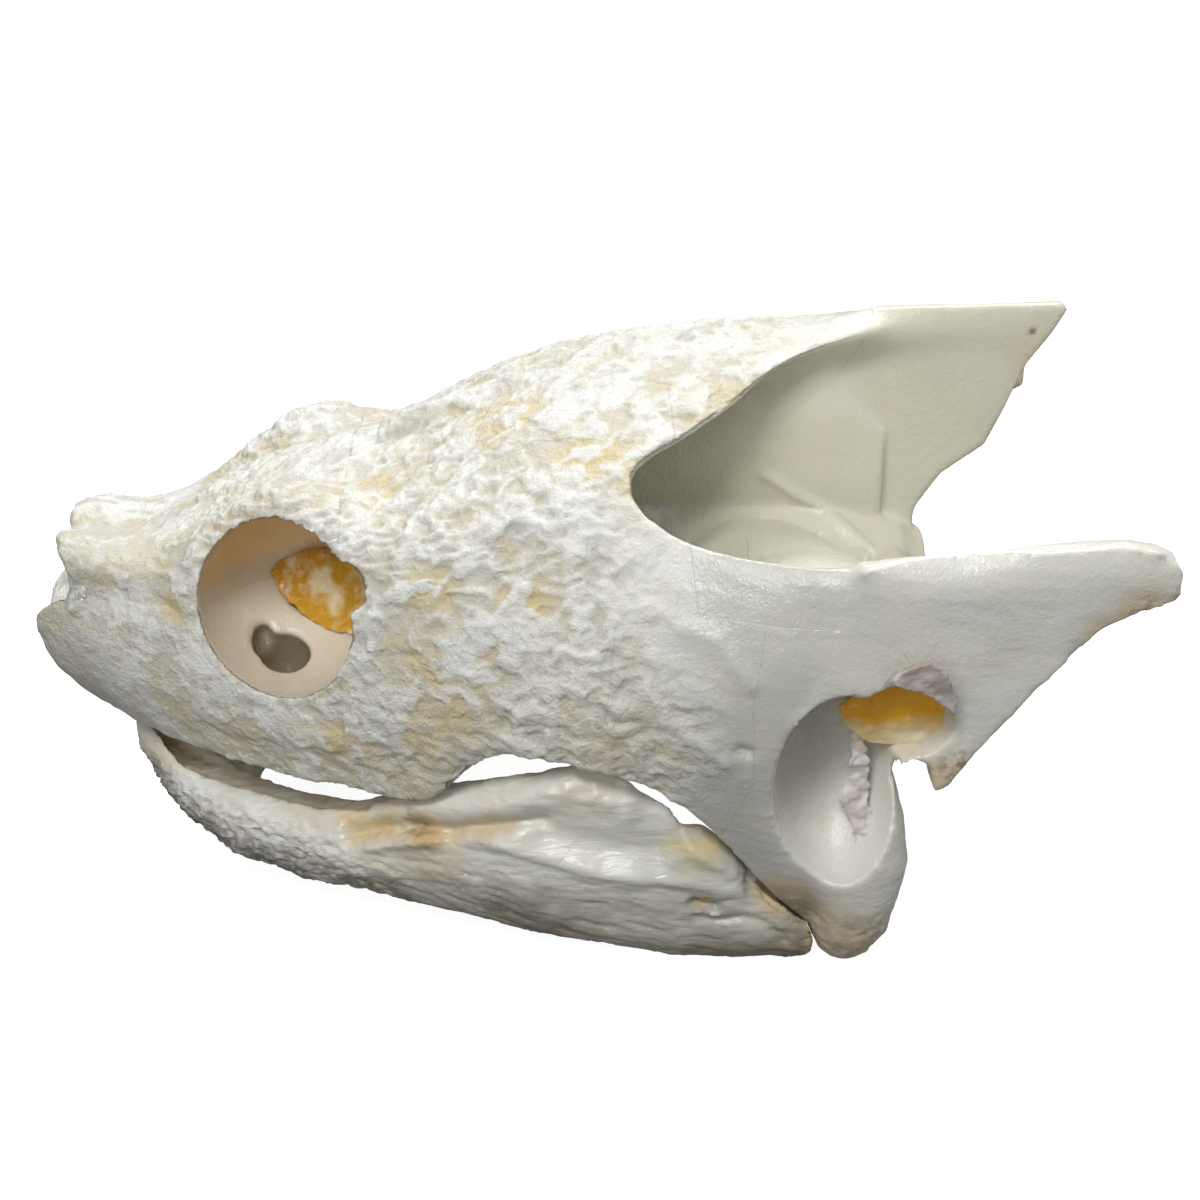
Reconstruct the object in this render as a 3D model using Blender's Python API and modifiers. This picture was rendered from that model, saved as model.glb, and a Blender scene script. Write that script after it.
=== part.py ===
"""Turtle skull: one snapping turtle skull with its lower jaw, lying on the floor.

The whole form is modelled once in millimetres, with the snout toward -X, the left side toward -Y and
the floor at zero. It is then parted into its bones by thin cuts along the sutures.
"""

import bpy
import bmesh
import math
from mathutils import Vector
from mathutils.bvhtree import BVHTree
from mathutils.kdtree import KDTree

MM = 0.001

# Grain of the solid, thickness of the dermal bone, the distance over which it thins out toward the
# open edge of the roof and the share left there, width of a cut between two bones, and the room
# between the head and the loose lower jaw.
VOXEL = 0.8
SKIN = 2.6
TAPER = 7
EDGE_SHARE = 0.42
GAP = 0.3
JAW_ROOM = 0.6
CRANIUM_FACES = 5200
JAW_FACES = 1400

# The outer skin runs over stations from the snout (0) back to the ear (13), in rows from the midline
# down to the lower margin. Each row holds x, half width and height at its key stations.
ROWS = [
    # midline of the roof
    {-1: (-58.2, 0, 34.2), 0: (-59.4, 0, 36.4), 2: (-48, 0, 37.4), 4: (-34, 0, 43.8), 5: (-25, 0, 47.2),
     7: (-10, 0, 55.0), 9: (4, 0, 59.8), 11: (18, 0, 60.0), 13: (32, 0, 61.8)},
    # crown beside the midline
    {-1: (-59.2, 4, 36.4), 0: (-61.2, 4.5, 40.6), 2: (-48, 5.5, 39.0), 4: (-34, 8, 45.0),
     5: (-25, 10, 46.6), 6: (-18, 11, 49.3), 7: (-10, 12, 53.8), 9: (4, 11.5, 57.0), 11: (18, 6, 59.4),
     13: (32, 2, 61.8)},
    # brow and edge of the roof
    {-1: (-56.8, 8, 34.8), 0: (-58.6, 9, 38.0), 2: (-48, 10.8, 37.2), 3: (-42, 12, 42.8),
     4: (-30.6, 14.5, 53.0), 5: (-24, 17.6, 43.6), 6: (-18, 20.6, 46.8), 7: (-10, 22.4, 49.0),
     9: (2.0, 22.0, 53.2), 10: (8.2, 18.0, 54.1), 11: (14.2, 12.6, 57.8), 12: (21, 6.6, 60.4),
     13: (30, 2.8, 62)},
    # top of the cheek
    {-1: (-57.2, 7.2, 33.0), 0: (-58.0, 7.9, 33.1), 2: (-48, 12.8, 35.5), 3: (-43, 14.6, 37),
     4: (-34, 17.8, 41), 5: (-25, 22.3, 42.5), 7: (-10, 26.4, 44), 9: (2.6, 25.4, 49.2),
     10: (8.6, 28.8, 46.2), 11: (18.7, 32.2, 45.9), 12: (25, 33.5, 45.7), 13: (32, 34.2, 46)},
    # middle of the cheek
    {-1: (-63.5, 0, 27.0), 0: (-63.2, 5.7, 29.2), 2: (-50.6, 12.8, 29.5), 3: (-43, 16.2, 30),
     4: (-34, 20.8, 32), 5: (-25, 25, 35.5), 7: (-10, 29.6, 37), 9: (4, 33, 38.5),
     11: (18, 36.6, 37.5), 12: (25, 37, 38.5), 13: (31, 36, 39)},
    # low cheek
    {-1: (-62.6, 0, 21.6), 0: (-62.0, 5.2, 23.2), 2: (-51, 12, 22.5), 3: (-44, 16, 23),
     4: (-34, 21.4, 24.5), 5: (-25, 25.6, 27), 6: (-18, 28, 28), 7: (-10, 31, 30),
     9: (4, 34, 29.5), 11: (16.5, 36.6, 24), 12: (21, 35, 13.5), 13: (28, 32.4, 9)},
    # cutting edge of the beak and lower margin of the cheek
    {-1: (-57.8, 0, 17.5), 0: (-58.2, 1.5, 17.5), 1: (-54.4, 5, 17.4), 2: (-50, 9.2, 16.9),
     3: (-43, 14, 16.3), 4: (-34, 19, 16.4), 5: (-25, 23.5, 16.8), 6: (-17.4, 26.4, 15.6),
     7: (-13, 28.8, 25), 8: (-4.6, 31, 24.0), 9: (3.5, 32, 22.6), 10: (10, 32, 18.0),
     11: (16.0, 31, 9.6), 12: (22, 29.5, 2.6), 13: (29, 29.5, 1)},
]
FIRST_STATION, LAST_STATION = -1, 13

# Supraoccipital crest: a blade on the midline, seen from the side.
CREST_OUTLINE = [(6, 57), (20, 59.6), (30, 62.4), (49.4, 62.8), (50.0, 62.2), (48.4, 59.4),
                 (46, 55.8), (43.8, 50.6), (42.2, 46.9), (37.6, 43.5), (34.9, 39.4), (34.6, 34),
                 (30, 32), (6, 40)]
CREST_THICK = 2.0

# The squamosal horn behind the ear, seen from the side.
HORN_OUTLINE = [(24, 46.3), (34, 46.2), (42.2, 48.1), (49, 48.6), (53.0, 48.0), (55.2, 46.0),
                (55.0, 43.0), (51, 41.8), (47.6, 40.2), (42.4, 34.0), (38, 28.2), (34.4, 22.8),
                (32.9, 21.9), (32.2, 25.2), (30.4, 26.0), (27, 36)]
HORN_THICK = 3.4
SHORT_HORN = 53.2

# Bone behind the ear, seen from the side, with the hook that hangs from the squamosal.
EAR_REAR_OUTLINE = [(24, 39), (36, 39), (37.6, 32), (36, 26.6), (34.4, 22.8), (33.0, 22.0), (32.4, 25.0),
                    (31.0, 25.8), (28, 25.0), (25, 28)]
EAR_REAR_THICK = 7.6

# Sockets and cavities: centre and half sizes. Each is cut on both sides, but the nose and brain hole.
NOSE = ((-58.5, 0, 30.4), (13, 4.9, 4.4))
BRAIN_HOLE = ((38, 0, 29.6), (12, 4.6, 4.2))
HOLLOWS = {
    "orbit": ((-33.0, 15.5, 35.3), (9.5, 13.2, 9.3)),
    "orbit_corner": ((-27.0, 20.5, 39.2), (3.3, 5.5, 2.7)),
    "ear": ((23.2, 38.0, 22.6), (6.9, 11.6, 11.6)),
    "antrum": ((28.6, 35.8, 30.0), (6.0, 8.4, 4.4)),
    "eye_window": ((-30.4, 4.1, 32.4), (5.0, 3.0, 3.8)),
    "eye_drain": ((-34.6, 10.0, 25.6), (2.8, 3.2, 4.6)),
    "eye_drain_top": ((-36.9, 9.2, 28.0), (1.2, 2.6, 2.2)),
}

# Lower jaw: centre of the left branch from chin to hinge, with half thickness and half height.
JAW = [(-52.8, 1.5, 13.9, 2.4, 2.8), (-49.8, 3.6, 11.7, 3.8, 4.2), (-46.4, 6.4, 9.3, 4.5, 4.1),
       (-41, 10.6, 7.6, 4.4, 4.5), (-33, 15.2, 7.2, 4.0, 4.7), (-26.5, 18.6, 7.7, 3.6, 5.1),
       (-21.4, 21.0, 8.9, 3.3, 6.3), (-17, 23.2, 10.0, 3.0, 7.4), (-9, 26.0, 11.0, 2.8, 9.1),
       (-3, 27.4, 11.4, 2.6, 10.3), (2, 28.2, 10.6, 2.5, 10.1), (5.2, 28.4, 9.3, 2.5, 9.2),
       (6.8, 28.6, 8.4, 2.6, 8.6), (7.8, 28.6, 7.6, 2.6, 7.9), (10, 28.6, 7.6, 2.7, 7.9),
       (12, 28.6, 6.8, 2.8, 7.1), (14.5, 28.6, 5.4, 3.0, 5.7), (19, 28.6, 3.8, 3.0, 4.1),
       (21.6, 28.6, 3.2, 2.8, 3.0)]
TROUGH = [(-51, 2.8, 15.6, 2.0, 3.4), (-47, 6.4, 13.2, 2.9, 2.4), (-40, 10.4, 12.8, 3.3, 2.2),
          (-31, 15.6, 12.8, 2.9, 2.0), (-25, 19.0, 13.8, 1.8, 1.3)]
CHIN_SHELF = [(-50.2, 0, 12.9, 4.0, 2.6), (-46.8, 0, 9.8, 7.6, 3.7), (-42.6, 0, 8.3, 9, 3.4),
              (-40, 0, 8, 6, 2.6)]
JAW_KEEL = [(-27, 15.4, 4.4, 1.5, 2.0), (-22, 16.6, 3.2, 2.4, 3.3), (-17, 18.6, 3.0, 2.5, 3.2),
            (-9, 21.8, 3, 2.5, 3.2), (-3, 24.4, 3, 2.4, 3.2), (3, 26.6, 3, 2.2, 3.1), (6, 27.4, 3, 1.5, 2)]

# Sutures: the axis that the cut runs along, its reach on that axis, and its line across the others.
CENTRE = (-45, 45)
INNER = (-13, 13)
SIDE = (10, 46)
SUTURES = [
    # snout roof from the jaw bones, then snout from the rest
    ("y", (-24, 24), [(-72, 33), (-26, 33)]),
    ("y", CENTRE, [(-27, 72), (-27, 24), (-21, 10)]),
    # premaxilla, vomer and the two maxillae
    ("z", (8, 33.2), [(-72, 6.5), (-18, 6.5)]),
    ("z", (8, 33.2), [(-72, -6.5), (-18, -6.5)]),
    ("y", (-6.6, 6.6), [(-50, 8), (-50, 33.2)]),
    # prefrontals and frontal
    ("y", (-24, 24), [(-40, 32.9), (-40, 60)]),
    ("z", (32.9, 60), [(-72, 0), (-39.9, 0)]),
    # parietal from the bones beside it, braincase and crest
    ("z", (37, 72), [(-28, 11.5), (-15, 13), (-3, 16.5), (3, 19.5), (8, 26)]),
    ("z", (37, 72), [(-28, -11.5), (-15, -13), (-3, -16.5), (3, -19.5), (8, -26)]),
    ("y", (-18, 18), [(-28, 38), (0, 41), (48, 41)]),
    ("y", INNER, [(34, 72), (26, 56), (14, 47), (11, 40)]),
    # side bones from the middle ones
    ("z", (6, 41), [(-30, 11.5), (-14, 13.5), (-4, 16), (6, 17.5), (48, 17.5)]),
    ("z", (6, 41), [(-30, -11.5), (-14, -13.5), (-4, -16), (6, -17.5), (48, -17.5)]),
    # braincase from the pterygoids under it
    ("y", (-18, 18), [(-30, 24.5), (0, 21.5), (30, 20.5), (34, 17), (36, 8)]),
    # upper from lower bones of the cheek, and around the ear
    ("side", SIDE, [(-28, 33), (-10, 37), (2, 39.5), (9, 41), (17, 40.5), (24, 40.5), (28.5, 38.5),
                    (31.6, 33), (31.4, 26), (31.6, 16)]),
    ("side", SIDE, [(9, 40.9), (8, 50), (6, 62)]),
    ("side", SIDE, [(1, 39.4), (0, 30), (3, 12)]),
    ("side", SIDE, [(15.5, 40.7), (14.3, 33), (14.6, 24), (11, 14)]),
]
JAW_SUTURES = [("y", CENTRE, [(8, 34), (2, 20), (-8, 8), (-14, -8)])]

# Bones with a point that lies on each; a bone named for both sides has its twin mirrored.
MIDDLE_BONES = {"premaxilla": (-60, 0, 22), "vomer": (-44, 0, 24), "frontal": (-33, 0, 44),
                "parietal": (-4, 0, 56), "supraoccipital": (42, 0, 56), "braincase": (20, 0, 30),
                "pterygoid": (10, 0, 18)}
SIDE_BONES = {"maxilla": (-44, 15, 24), "prefrontal": (-50, 9, 38), "postorbital": (-10, 22, 47),
              "jugal": (-12, 29, 31), "quadratojugal": (8, 33, 32), "squamosal": (44, 33.5, 42),
              "quadrate": (26, 29, 8)}
JAW_MIDDLE = {"dentary": (-46, 0, 8)}
JAW_SIDE = {"surangular": (14, 29, 6)}

# Bone colour and finish by bone; the rest take the cream of the first entry.
CREAM = (0.80, 0.76, 0.66, 1)
IVORY = (0.83, 0.80, 0.70, 1)
STAINED = (0.70, 0.63, 0.49, 1)
BONE_COLOURS = {"supraoccipital": IVORY, "parietal": CREAM, "vomer": STAINED, "dentary": STAINED,
                "pterygoid": IVORY, "braincase": IVORY}
BONE_ROUGHNESS = 0.45


def row_point(keys, station):
    """Point of one row at a station, on a smooth curve through its keys."""
    if station in keys:
        return Vector(keys[station])
    marks = sorted(keys)
    upper = next(i for i, mark in enumerate(marks) if mark > station)
    near = [max(upper - 2, 0), upper - 1, upper, min(upper + 1, len(marks) - 1)]
    p0, p1, p2, p3 = (Vector(keys[marks[i]]) for i in near)
    t0, t1, t2, t3 = (marks[i] for i in near)
    span = t2 - t1
    t = (station - t1) / span
    lead_in = (p2 - p0) / (t2 - t0) * span
    lead_out = (p3 - p1) / (t3 - t1) * span
    return (p1 * (2 * t ** 3 - 3 * t ** 2 + 1) + lead_in * (t ** 3 - 2 * t ** 2 + t)
            + p2 * (3 * t ** 2 - 2 * t ** 3) + lead_out * (t ** 3 - t ** 2))


def add_object(name, bm):
    """Working object in metres from a bmesh in millimetres."""
    bmesh.ops.scale(bm, vec=(MM, MM, MM), verts=bm.verts)
    mesh = bpy.data.meshes.new(name)
    bm.to_mesh(mesh)
    bm.free()
    obj = bpy.data.objects.new(name, mesh)
    bpy.context.scene.collection.objects.link(obj)
    return obj


def settle(obj):
    """Apply the modifiers of an object to its mesh."""
    graph = bpy.context.evaluated_depsgraph_get()
    mesh = bpy.data.meshes.new_from_object(obj.evaluated_get(graph))
    obj.modifiers.clear()
    obj.data = mesh
    return obj


def skin_sheet():
    """The dermal bone of roof, snout and cheek, open at the nose and behind the roof."""
    stations = LAST_STATION - FIRST_STATION
    last_row = len(ROWS) - 1
    bm = bmesh.new()
    bmesh.ops.create_grid(bm, x_segments=stations, y_segments=last_row, size=1)
    openings = []
    for face in bm.faces:
        middle = face.calc_center_median()
        station = (middle.x + 1) / 2 * stations + FIRST_STATION
        row = (middle.y + 1) / 2 * last_row
        nostril = station < 0 and 3 < row < 4
        temporal = station > 9 and 2 < row < 3
        if nostril or temporal:
            openings.append(face)
    bmesh.ops.delete(bm, geom=openings, context="FACES")
    for vert in bm.verts:
        station = round((vert.co.x + 1) / 2 * stations) + FIRST_STATION
        row = round((vert.co.y + 1) / 2 * last_row)
        vert.co = row_point(ROWS[row], station)
    sheet = add_object("skin", bm)
    mirror = sheet.modifiers.new("Mirror", "MIRROR")
    mirror.use_axis = (False, True, False)
    mirror.merge_threshold = 0.00005
    subdivide = sheet.modifiers.new("Round", "SUBSURF")
    subdivide.levels = 3
    subdivide.render_levels = 3
    return settle(sheet)


def open_edge(mesh):
    """Points on the open edge of the roof and cheek, above and behind the eyes."""
    bm = bmesh.new()
    bm.from_mesh(mesh)
    rim = [vert.co.copy() for vert in bm.verts
           if vert.is_boundary and vert.co.z > 43 * MM and vert.co.x > 0]
    bm.free()
    tree = KDTree(len(rim))
    for i, place in enumerate(rim):
        tree.insert(place, i)
    tree.balance()
    return tree


def skin_bone(sheet):
    """The skin with its thickness, laid inward, and thinner toward the open edge of the roof."""
    edge = open_edge(sheet.data)
    body = sheet.vertex_groups.new(name="body")
    for vert in sheet.data.vertices:
        away = edge.find(vert.co)[2] / MM
        body.add([vert.index], min(away / TAPER, 1), "REPLACE")
    thick = sheet.modifiers.new("Bone", "SOLIDIFY")
    thick.thickness = SKIN * MM
    thick.offset = -1
    thick.vertex_group = "body"
    thick.thickness_vertex_group = EDGE_SHARE
    return settle(sheet)


def loft(name, axis, sections, square=2.0, sides=24):
    """Closed body through ovals; a section holds its centre x, y, z and its two half sizes."""
    bm = bmesh.new()
    loops = []
    for x, y, z, first, second in sections:
        ring = []
        for i in range(sides):
            angle = 2 * math.pi * i / sides
            a = first * math.copysign(abs(math.cos(angle)) ** (2 / square), math.cos(angle))
            b = second * math.copysign(abs(math.sin(angle)) ** (2 / square), math.sin(angle))
            offset = {"x": (0, a, b), "y": (a, 0, b), "z": (a, b, 0)}[axis]
            ring.append(bm.verts.new((x + offset[0], y + offset[1], z + offset[2])))
        loops.append([bm.edges.new((ring[i - 1], ring[i])) for i in range(sides)])
    for near, far in zip(loops, loops[1:]):
        bmesh.ops.bridge_loops(bm, edges=near + far)
    bmesh.ops.contextual_create(bm, geom=loops[0])
    bmesh.ops.contextual_create(bm, geom=loops[-1])
    bmesh.ops.recalc_face_normals(bm, faces=bm.faces)
    return add_object(name, bm)


def pair(name, axis, sections, square=2.0):
    """The same loft on the right and, turned over, on the left."""
    return [loft(name, axis, [(x, side * w, z, a, b) for x, w, z, a, b in sections], square)
            for side in (1, -1)]


def ball(name, centre, radii):
    """Closed ellipsoid."""
    bm = bmesh.new()
    bmesh.ops.create_uvsphere(bm, u_segments=32, v_segments=20, radius=1)
    bmesh.ops.scale(bm, vec=radii, verts=bm.verts)
    bmesh.ops.translate(bm, vec=centre, verts=bm.verts)
    return add_object(name, bm)


def ball_pair(name, shape):
    """A ball on the right and one on the left."""
    (x, w, z), radii = shape
    return [ball(name, (x, side * w, z), radii) for side in (1, -1)]


def plate(name, outline, half_width, thick):
    """Plate from a side outline, standing at a half width that may lean with x and z."""
    bm = bmesh.new()
    ring = [bm.verts.new((x, half_width(x, z), z)) for x, z in outline]
    edges = [bm.edges.new((ring[i - 1], ring[i])) for i in range(len(ring))]
    bmesh.ops.triangle_fill(bm, edges=edges, use_beauty=True)
    obj = add_object(name, bm)
    body = obj.modifiers.new("Thickness", "SOLIDIFY")
    body.thickness = thick * MM
    body.offset = 0
    return settle(obj)


def join(pieces, name):
    """One object that holds the meshes of all pieces."""
    bm = bmesh.new()
    for piece in pieces:
        bm.from_mesh(piece.data)
        bpy.data.objects.remove(piece)
    mesh = bpy.data.meshes.new(name)
    bm.to_mesh(mesh)
    bm.free()
    obj = bpy.data.objects.new(name, mesh)
    bpy.context.scene.collection.objects.link(obj)
    return obj


def even_grain(obj):
    """Fuse what overlaps into one closed surface of even grain."""
    grain = obj.modifiers.new("Grain", "REMESH")
    grain.mode = "VOXEL"
    grain.voxel_size = VOXEL * MM
    return settle(obj)


def islands(bm):
    """Groups of vertices that hang together, the largest first."""
    left = set(bm.verts)
    groups = []
    while left:
        stack = [left.pop()]
        group = set(stack)
        while stack:
            for edge in stack.pop().link_edges:
                for vert in edge.verts:
                    if vert in left:
                        left.discard(vert)
                        group.add(vert)
                        stack.append(vert)
        groups.append(group)
    return sorted(groups, key=len, reverse=True)


def keep_largest(obj):
    """Drop every surface but the one with the most vertices."""
    bm = bmesh.new()
    bm.from_mesh(obj.data)
    spare = [vert for group in islands(bm)[1:] for vert in group]
    bmesh.ops.delete(bm, geom=spare, context="VERTS")
    bm.to_mesh(obj.data)
    bm.free()
    return obj


def carve(body, cutter):
    """Cut away with the manifold solver, as the exact one is slow on this many faces."""
    cut = body.modifiers.new("Cut", "BOOLEAN")
    cut.operation = "DIFFERENCE"
    cut.solver = "MANIFOLD"
    cut.object = cutter
    settle(body)
    bpy.data.objects.remove(cutter)
    return body


def floor_block():
    """Block below the floor, which leaves flats where the skull stands."""
    bm = bmesh.new()
    bmesh.ops.create_cube(bm, size=200)
    bmesh.ops.translate(bm, vec=(0, 0, -100), verts=bm.verts)
    return add_object("floor", bm)


def finish(body, faces):
    """Round the carved edges, smooth the grain away and bring down the number of faces."""
    even_grain(body)
    soft = body.modifiers.new("Soft", "SMOOTH")
    soft.factor = 0.5
    soft.iterations = 4
    settle(body)
    keep_largest(body)
    fewer = body.modifiers.new("Fewer", "DECIMATE")
    fewer.ratio = faces / (2 * len(body.data.polygons))
    fewer.use_collapse_triangulate = True
    settle(body)
    return carve(body, floor_block())


def braincase():
    """Box of the brain with the walls above it, ear bridges, condyle and bars behind the ears."""
    parts = [
        loft("braincase", "x", [(-26, 0, 33, 3, 9), (-12, 0, 33, 5, 11), (0, 0, 32, 6.5, 11),
                                (12, 0, 31, 8.5, 11), (24, 0, 30, 9.5, 11), (33, 0, 29.5, 8.5, 9),
                                (36, 0, 29.5, 6.5, 7)]),
        loft("walls", "x", [(-24, 0, 42, 3, 8), (-10, 0, 45, 4, 10), (4, 0, 47, 4.4, 12),
                            (14, 0, 48, 4.2, 13), (24, 0, 47, 3.4, 12), (31, 0, 42, 2.4, 8)]),
        loft("base", "x", [(-20, 0, 22, 8, 3), (-6, 0, 20.5, 6.5, 3), (8, 0, 20, 8, 3.4),
                           (22, 0, 20, 9, 4), (34, 0, 22, 6, 4), (38, 0, 22.5, 4, 3.4)]),
        ball("condyle", (37.6, 0, 22.5), (4.4, 4.4, 3.6)),
    ]
    parts += pair("ear_bridge", "y", [(16, 3, 33, 9, 7), (18, 9, 34, 10, 6.5), (21, 15, 34, 10, 6.5),
                                      (22, 24, 34, 9, 8), (22, 30, 34, 8, 8)])
    parts += pair("ear_bar", "y", [(31.5, 4, 33, 3.5, 4), (31.5, 14, 33.5, 2.4, 3.4),
                                   (33, 24, 35, 2.4, 4.4), (36, 32, 37, 4, 6)])
    parts += pair("wing", "y", [(14, 2, 19, 14, 3), (15, 9, 18, 11, 2.4), (18, 16, 15.5, 7, 2.2),
                                (21, 24, 12, 5, 3.4)])
    return parts


def snout_core():
    """Bone around the nasal passage and the eyes, and the palate."""
    parts = [
        loft("core", "x", [(-59, 0, 23, 4.5, 4.5), (-52, 0, 28.5, 9.5, 9), (-46, 0, 30, 12, 10),
                           (-40, 0, 32, 14, 11), (-34, 0, 33.5, 15, 12), (-28, 0, 35, 16, 12.5),
                           (-22, 0, 36, 16, 12)], 2.6),
        loft("palate", "x", [(-56, 0, 21, 4, 3), (-48, 0, 21.5, 10, 2.8), (-36, 0, 21.5, 15, 3),
                             (-26, 0, 22, 18, 3), (-16, 0, 21.5, 13, 2.2), (-6, 0, 20.5, 9.5, 2.2)]),
    ]
    parts += pair("eye_floor", "x", [(-47, 9, 23, 4.5, 4), (-38, 12, 23, 7, 4), (-28, 16, 23.4, 8, 4),
                                     (-20, 18, 24.6, 7, 3.6), (-14, 22, 27, 4, 3)], 2.6)
    parts += pair("eye_rear", "z", [(-20, 18, 22, 3, 6), (-20.5, 17, 30, 2, 7), (-21, 15, 40, 2, 7),
                                    (-22, 12.5, 44.4, 3, 6)])
    return parts


def quadrates():
    """Ear blocks with the hinge knuckles that stand on the floor."""
    parts = pair("quadrate", "z", [(25.6, 28.3, -0.4, 1.8, 1.6), (25.6, 28.3, 1.0, 3.1, 2.9),
                                   (25.7, 28.6, 3.4, 4.2, 4.4), (25.8, 29, 8, 4.9, 5.3),
                                   (25.3, 29.2, 12, 6.2, 5.6), (23.7, 29.5, 17, 7.1, 6.2),
                                   (21.4, 30, 23, 7.6, 6.8), (22.2, 30, 31, 8.8, 7.2),
                                   (23.4, 30, 38, 8.6, 5.8)])
    for side in (1, -1):
        parts.append(plate("ear_rear", EAR_REAR_OUTLINE, lambda x, z: side * 30.4, EAR_REAR_THICK))
    return parts


def crest():
    blade = plate("crest", CREST_OUTLINE, lambda x, z: 0, CREST_THICK)
    root = loft("crest_root", "x", [(8, 0, 56.5, 6, 3), (20, 0, 58, 4.4, 2.4), (32, 0, 59.8, 2.4, 1.6),
                                    (46, 0, 60.8, 1.2, 0.9)])
    return [blade, root]


def horns():
    """Squamosal plates behind the ears; the right tip, hidden in the photo, is a little shorter."""
    parts = []
    for side, reach in ((1, SHORT_HORN), (-1, 60)):
        bar = [(18, 32, 44, 1.6, 1.6), (30, 33.4, 44.2, 2.2, 2), (42, 33.2, 45.4, 2.6, 2.6),
               (50, 33, 46, 2.6, 2.7), (min(54.4, reach), 33, 45.8, 1.8, 1.8)]
        parts.append(loft("horn_bar", "x", [(x, side * w, z, a, b) for x, w, z, a, b in bar]))
        outline = [(min(x, reach), z) for x, z in HORN_OUTLINE]
        parts.append(plate("horn", outline,
                           lambda x, z: side * (33.6 - 0.02 * max(x - 34, 0) - 0.10 * max(40 - z, 0)),
                           HORN_THICK))
    return parts


def cranium():
    parts = [skin_bone(skin_sheet())] + snout_core() + braincase() + quadrates() + crest() + horns()
    body = keep_largest(even_grain(join(parts, "cranium")))
    cutters = [ball("nose", *NOSE), ball("brain_hole", *BRAIN_HOLE)]
    for name, shape in HOLLOWS.items():
        cutters += ball_pair(name, shape)
    for cutter in cutters:
        carve(body, cutter)
    return finish(body, CRANIUM_FACES)


def room_around(body):
    """Copy of a body grown by the room that the jaw leaves to it."""
    room = bpy.data.objects.new("room", body.data.copy())
    bpy.context.scene.collection.objects.link(room)
    grown = room.modifiers.new("Room", "DISPLACE")
    grown.strength = JAW_ROOM * MM
    grown.mid_level = 0
    settle(room)
    return even_grain(room)


def lower_jaw(head):
    parts = pair("jaw", "x", JAW, 2.2) + pair("keel", "x", JAW_KEEL)
    parts.append(loft("chin", "x", CHIN_SHELF))
    body = keep_largest(even_grain(join(parts, "lower_jaw")))
    for cutter in pair("trough", "x", TROUGH) + [room_around(head)]:
        carve(body, cutter)
    return finish(body, JAW_FACES)


def ribbon(axis, reach, line):
    """Thin sheet along a line across two axes, drawn out along the third."""
    order = {"y": lambda u, v, w: (u, w, v), "z": lambda u, v, w: (u, v, w)}[axis]
    bm = bmesh.new()
    start = [bm.verts.new(order(u, v, reach[0])) for u, v in line]
    edges = [bm.edges.new(ends) for ends in zip(start, start[1:])]
    drawn = bmesh.ops.extrude_edge_only(bm, edges=edges)["geom"]
    moved = [item for item in drawn if isinstance(item, bmesh.types.BMVert)]
    bmesh.ops.translate(bm, vec=order(0, 0, reach[1] - reach[0]), verts=moved)
    obj = add_object("suture", bm)
    sheet = obj.modifiers.new("Gap", "SOLIDIFY")
    sheet.thickness = GAP * MM
    sheet.offset = 0
    return settle(obj)


def cut_sutures(body, sutures):
    """Cut the body along each suture; one marked side runs on both flanks."""
    for axis, reach, line in sutures:
        if axis == "side":
            carve(body, ribbon("y", reach, line))
            carve(body, ribbon("y", (-reach[1], -reach[0]), line))
        else:
            carve(body, ribbon(axis, reach, line))
    return body


def named_points(middle, side):
    """Each bone name with the point that lies on it."""
    points = {name: Vector(point) for name, point in middle.items()}
    for name, (x, w, z) in side.items():
        points[name + "_right"] = Vector((x, w, z))
        points[name + "_left"] = Vector((x, -w, z))
    return points


def bone_material(name):
    base = name.replace("_left", "").replace("_right", "")
    material = bpy.data.materials.new(name)
    material.use_nodes = True
    shader = material.node_tree.nodes["Principled BSDF"]
    shader.inputs["Base Color"].default_value = BONE_COLOURS.get(base, CREAM)
    shader.inputs["Roughness"].default_value = BONE_ROUGHNESS
    shader.inputs["Metallic"].default_value = 0.0
    return material


def part_bones(body, points, collection):
    """Give each loose piece of the cut body to the bone whose point is nearest to it."""
    bm = bmesh.new()
    bm.from_mesh(body.data)
    bpy.data.objects.remove(body)
    pieces = []
    for group in islands(bm):
        piece = bmesh.new()
        copies = {vert: piece.verts.new(vert.co) for vert in group}
        faces = {face for vert in group for face in vert.link_faces}
        for face in faces:
            piece.faces.new([copies[vert] for vert in face.verts])
        pieces.append((BVHTree.FromBMesh(piece), piece))
    bm.free()
    for name, point in points.items():
        near = min(pieces, key=lambda item: item[0].find_nearest(point * MM)[3])
        pieces.remove(near)
        mesh = bpy.data.meshes.new(name)
        near[1].to_mesh(mesh)
        mesh.materials.append(bone_material(name))
        bone = bpy.data.objects.new(name, mesh)
        collection.objects.link(bone)
    for _, crumb in pieces:
        crumb.free()


def stand_at_origin(collection):
    """Move the bones so that the middle of the underside of their box is the origin."""
    corners = [vert.co for bone in collection.objects for vert in bone.data.vertices]
    low = Vector([min(corner[i] for corner in corners) for i in range(3)])
    high = Vector([max(corner[i] for corner in corners) for i in range(3)])
    shift = Vector((-(low.x + high.x) / 2, -(low.y + high.y) / 2, -low.z))
    for bone in collection.objects:
        for vert in bone.data.vertices:
            vert.co += shift
    print("shift in mm", [round(value / MM, 4) for value in shift])


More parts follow.
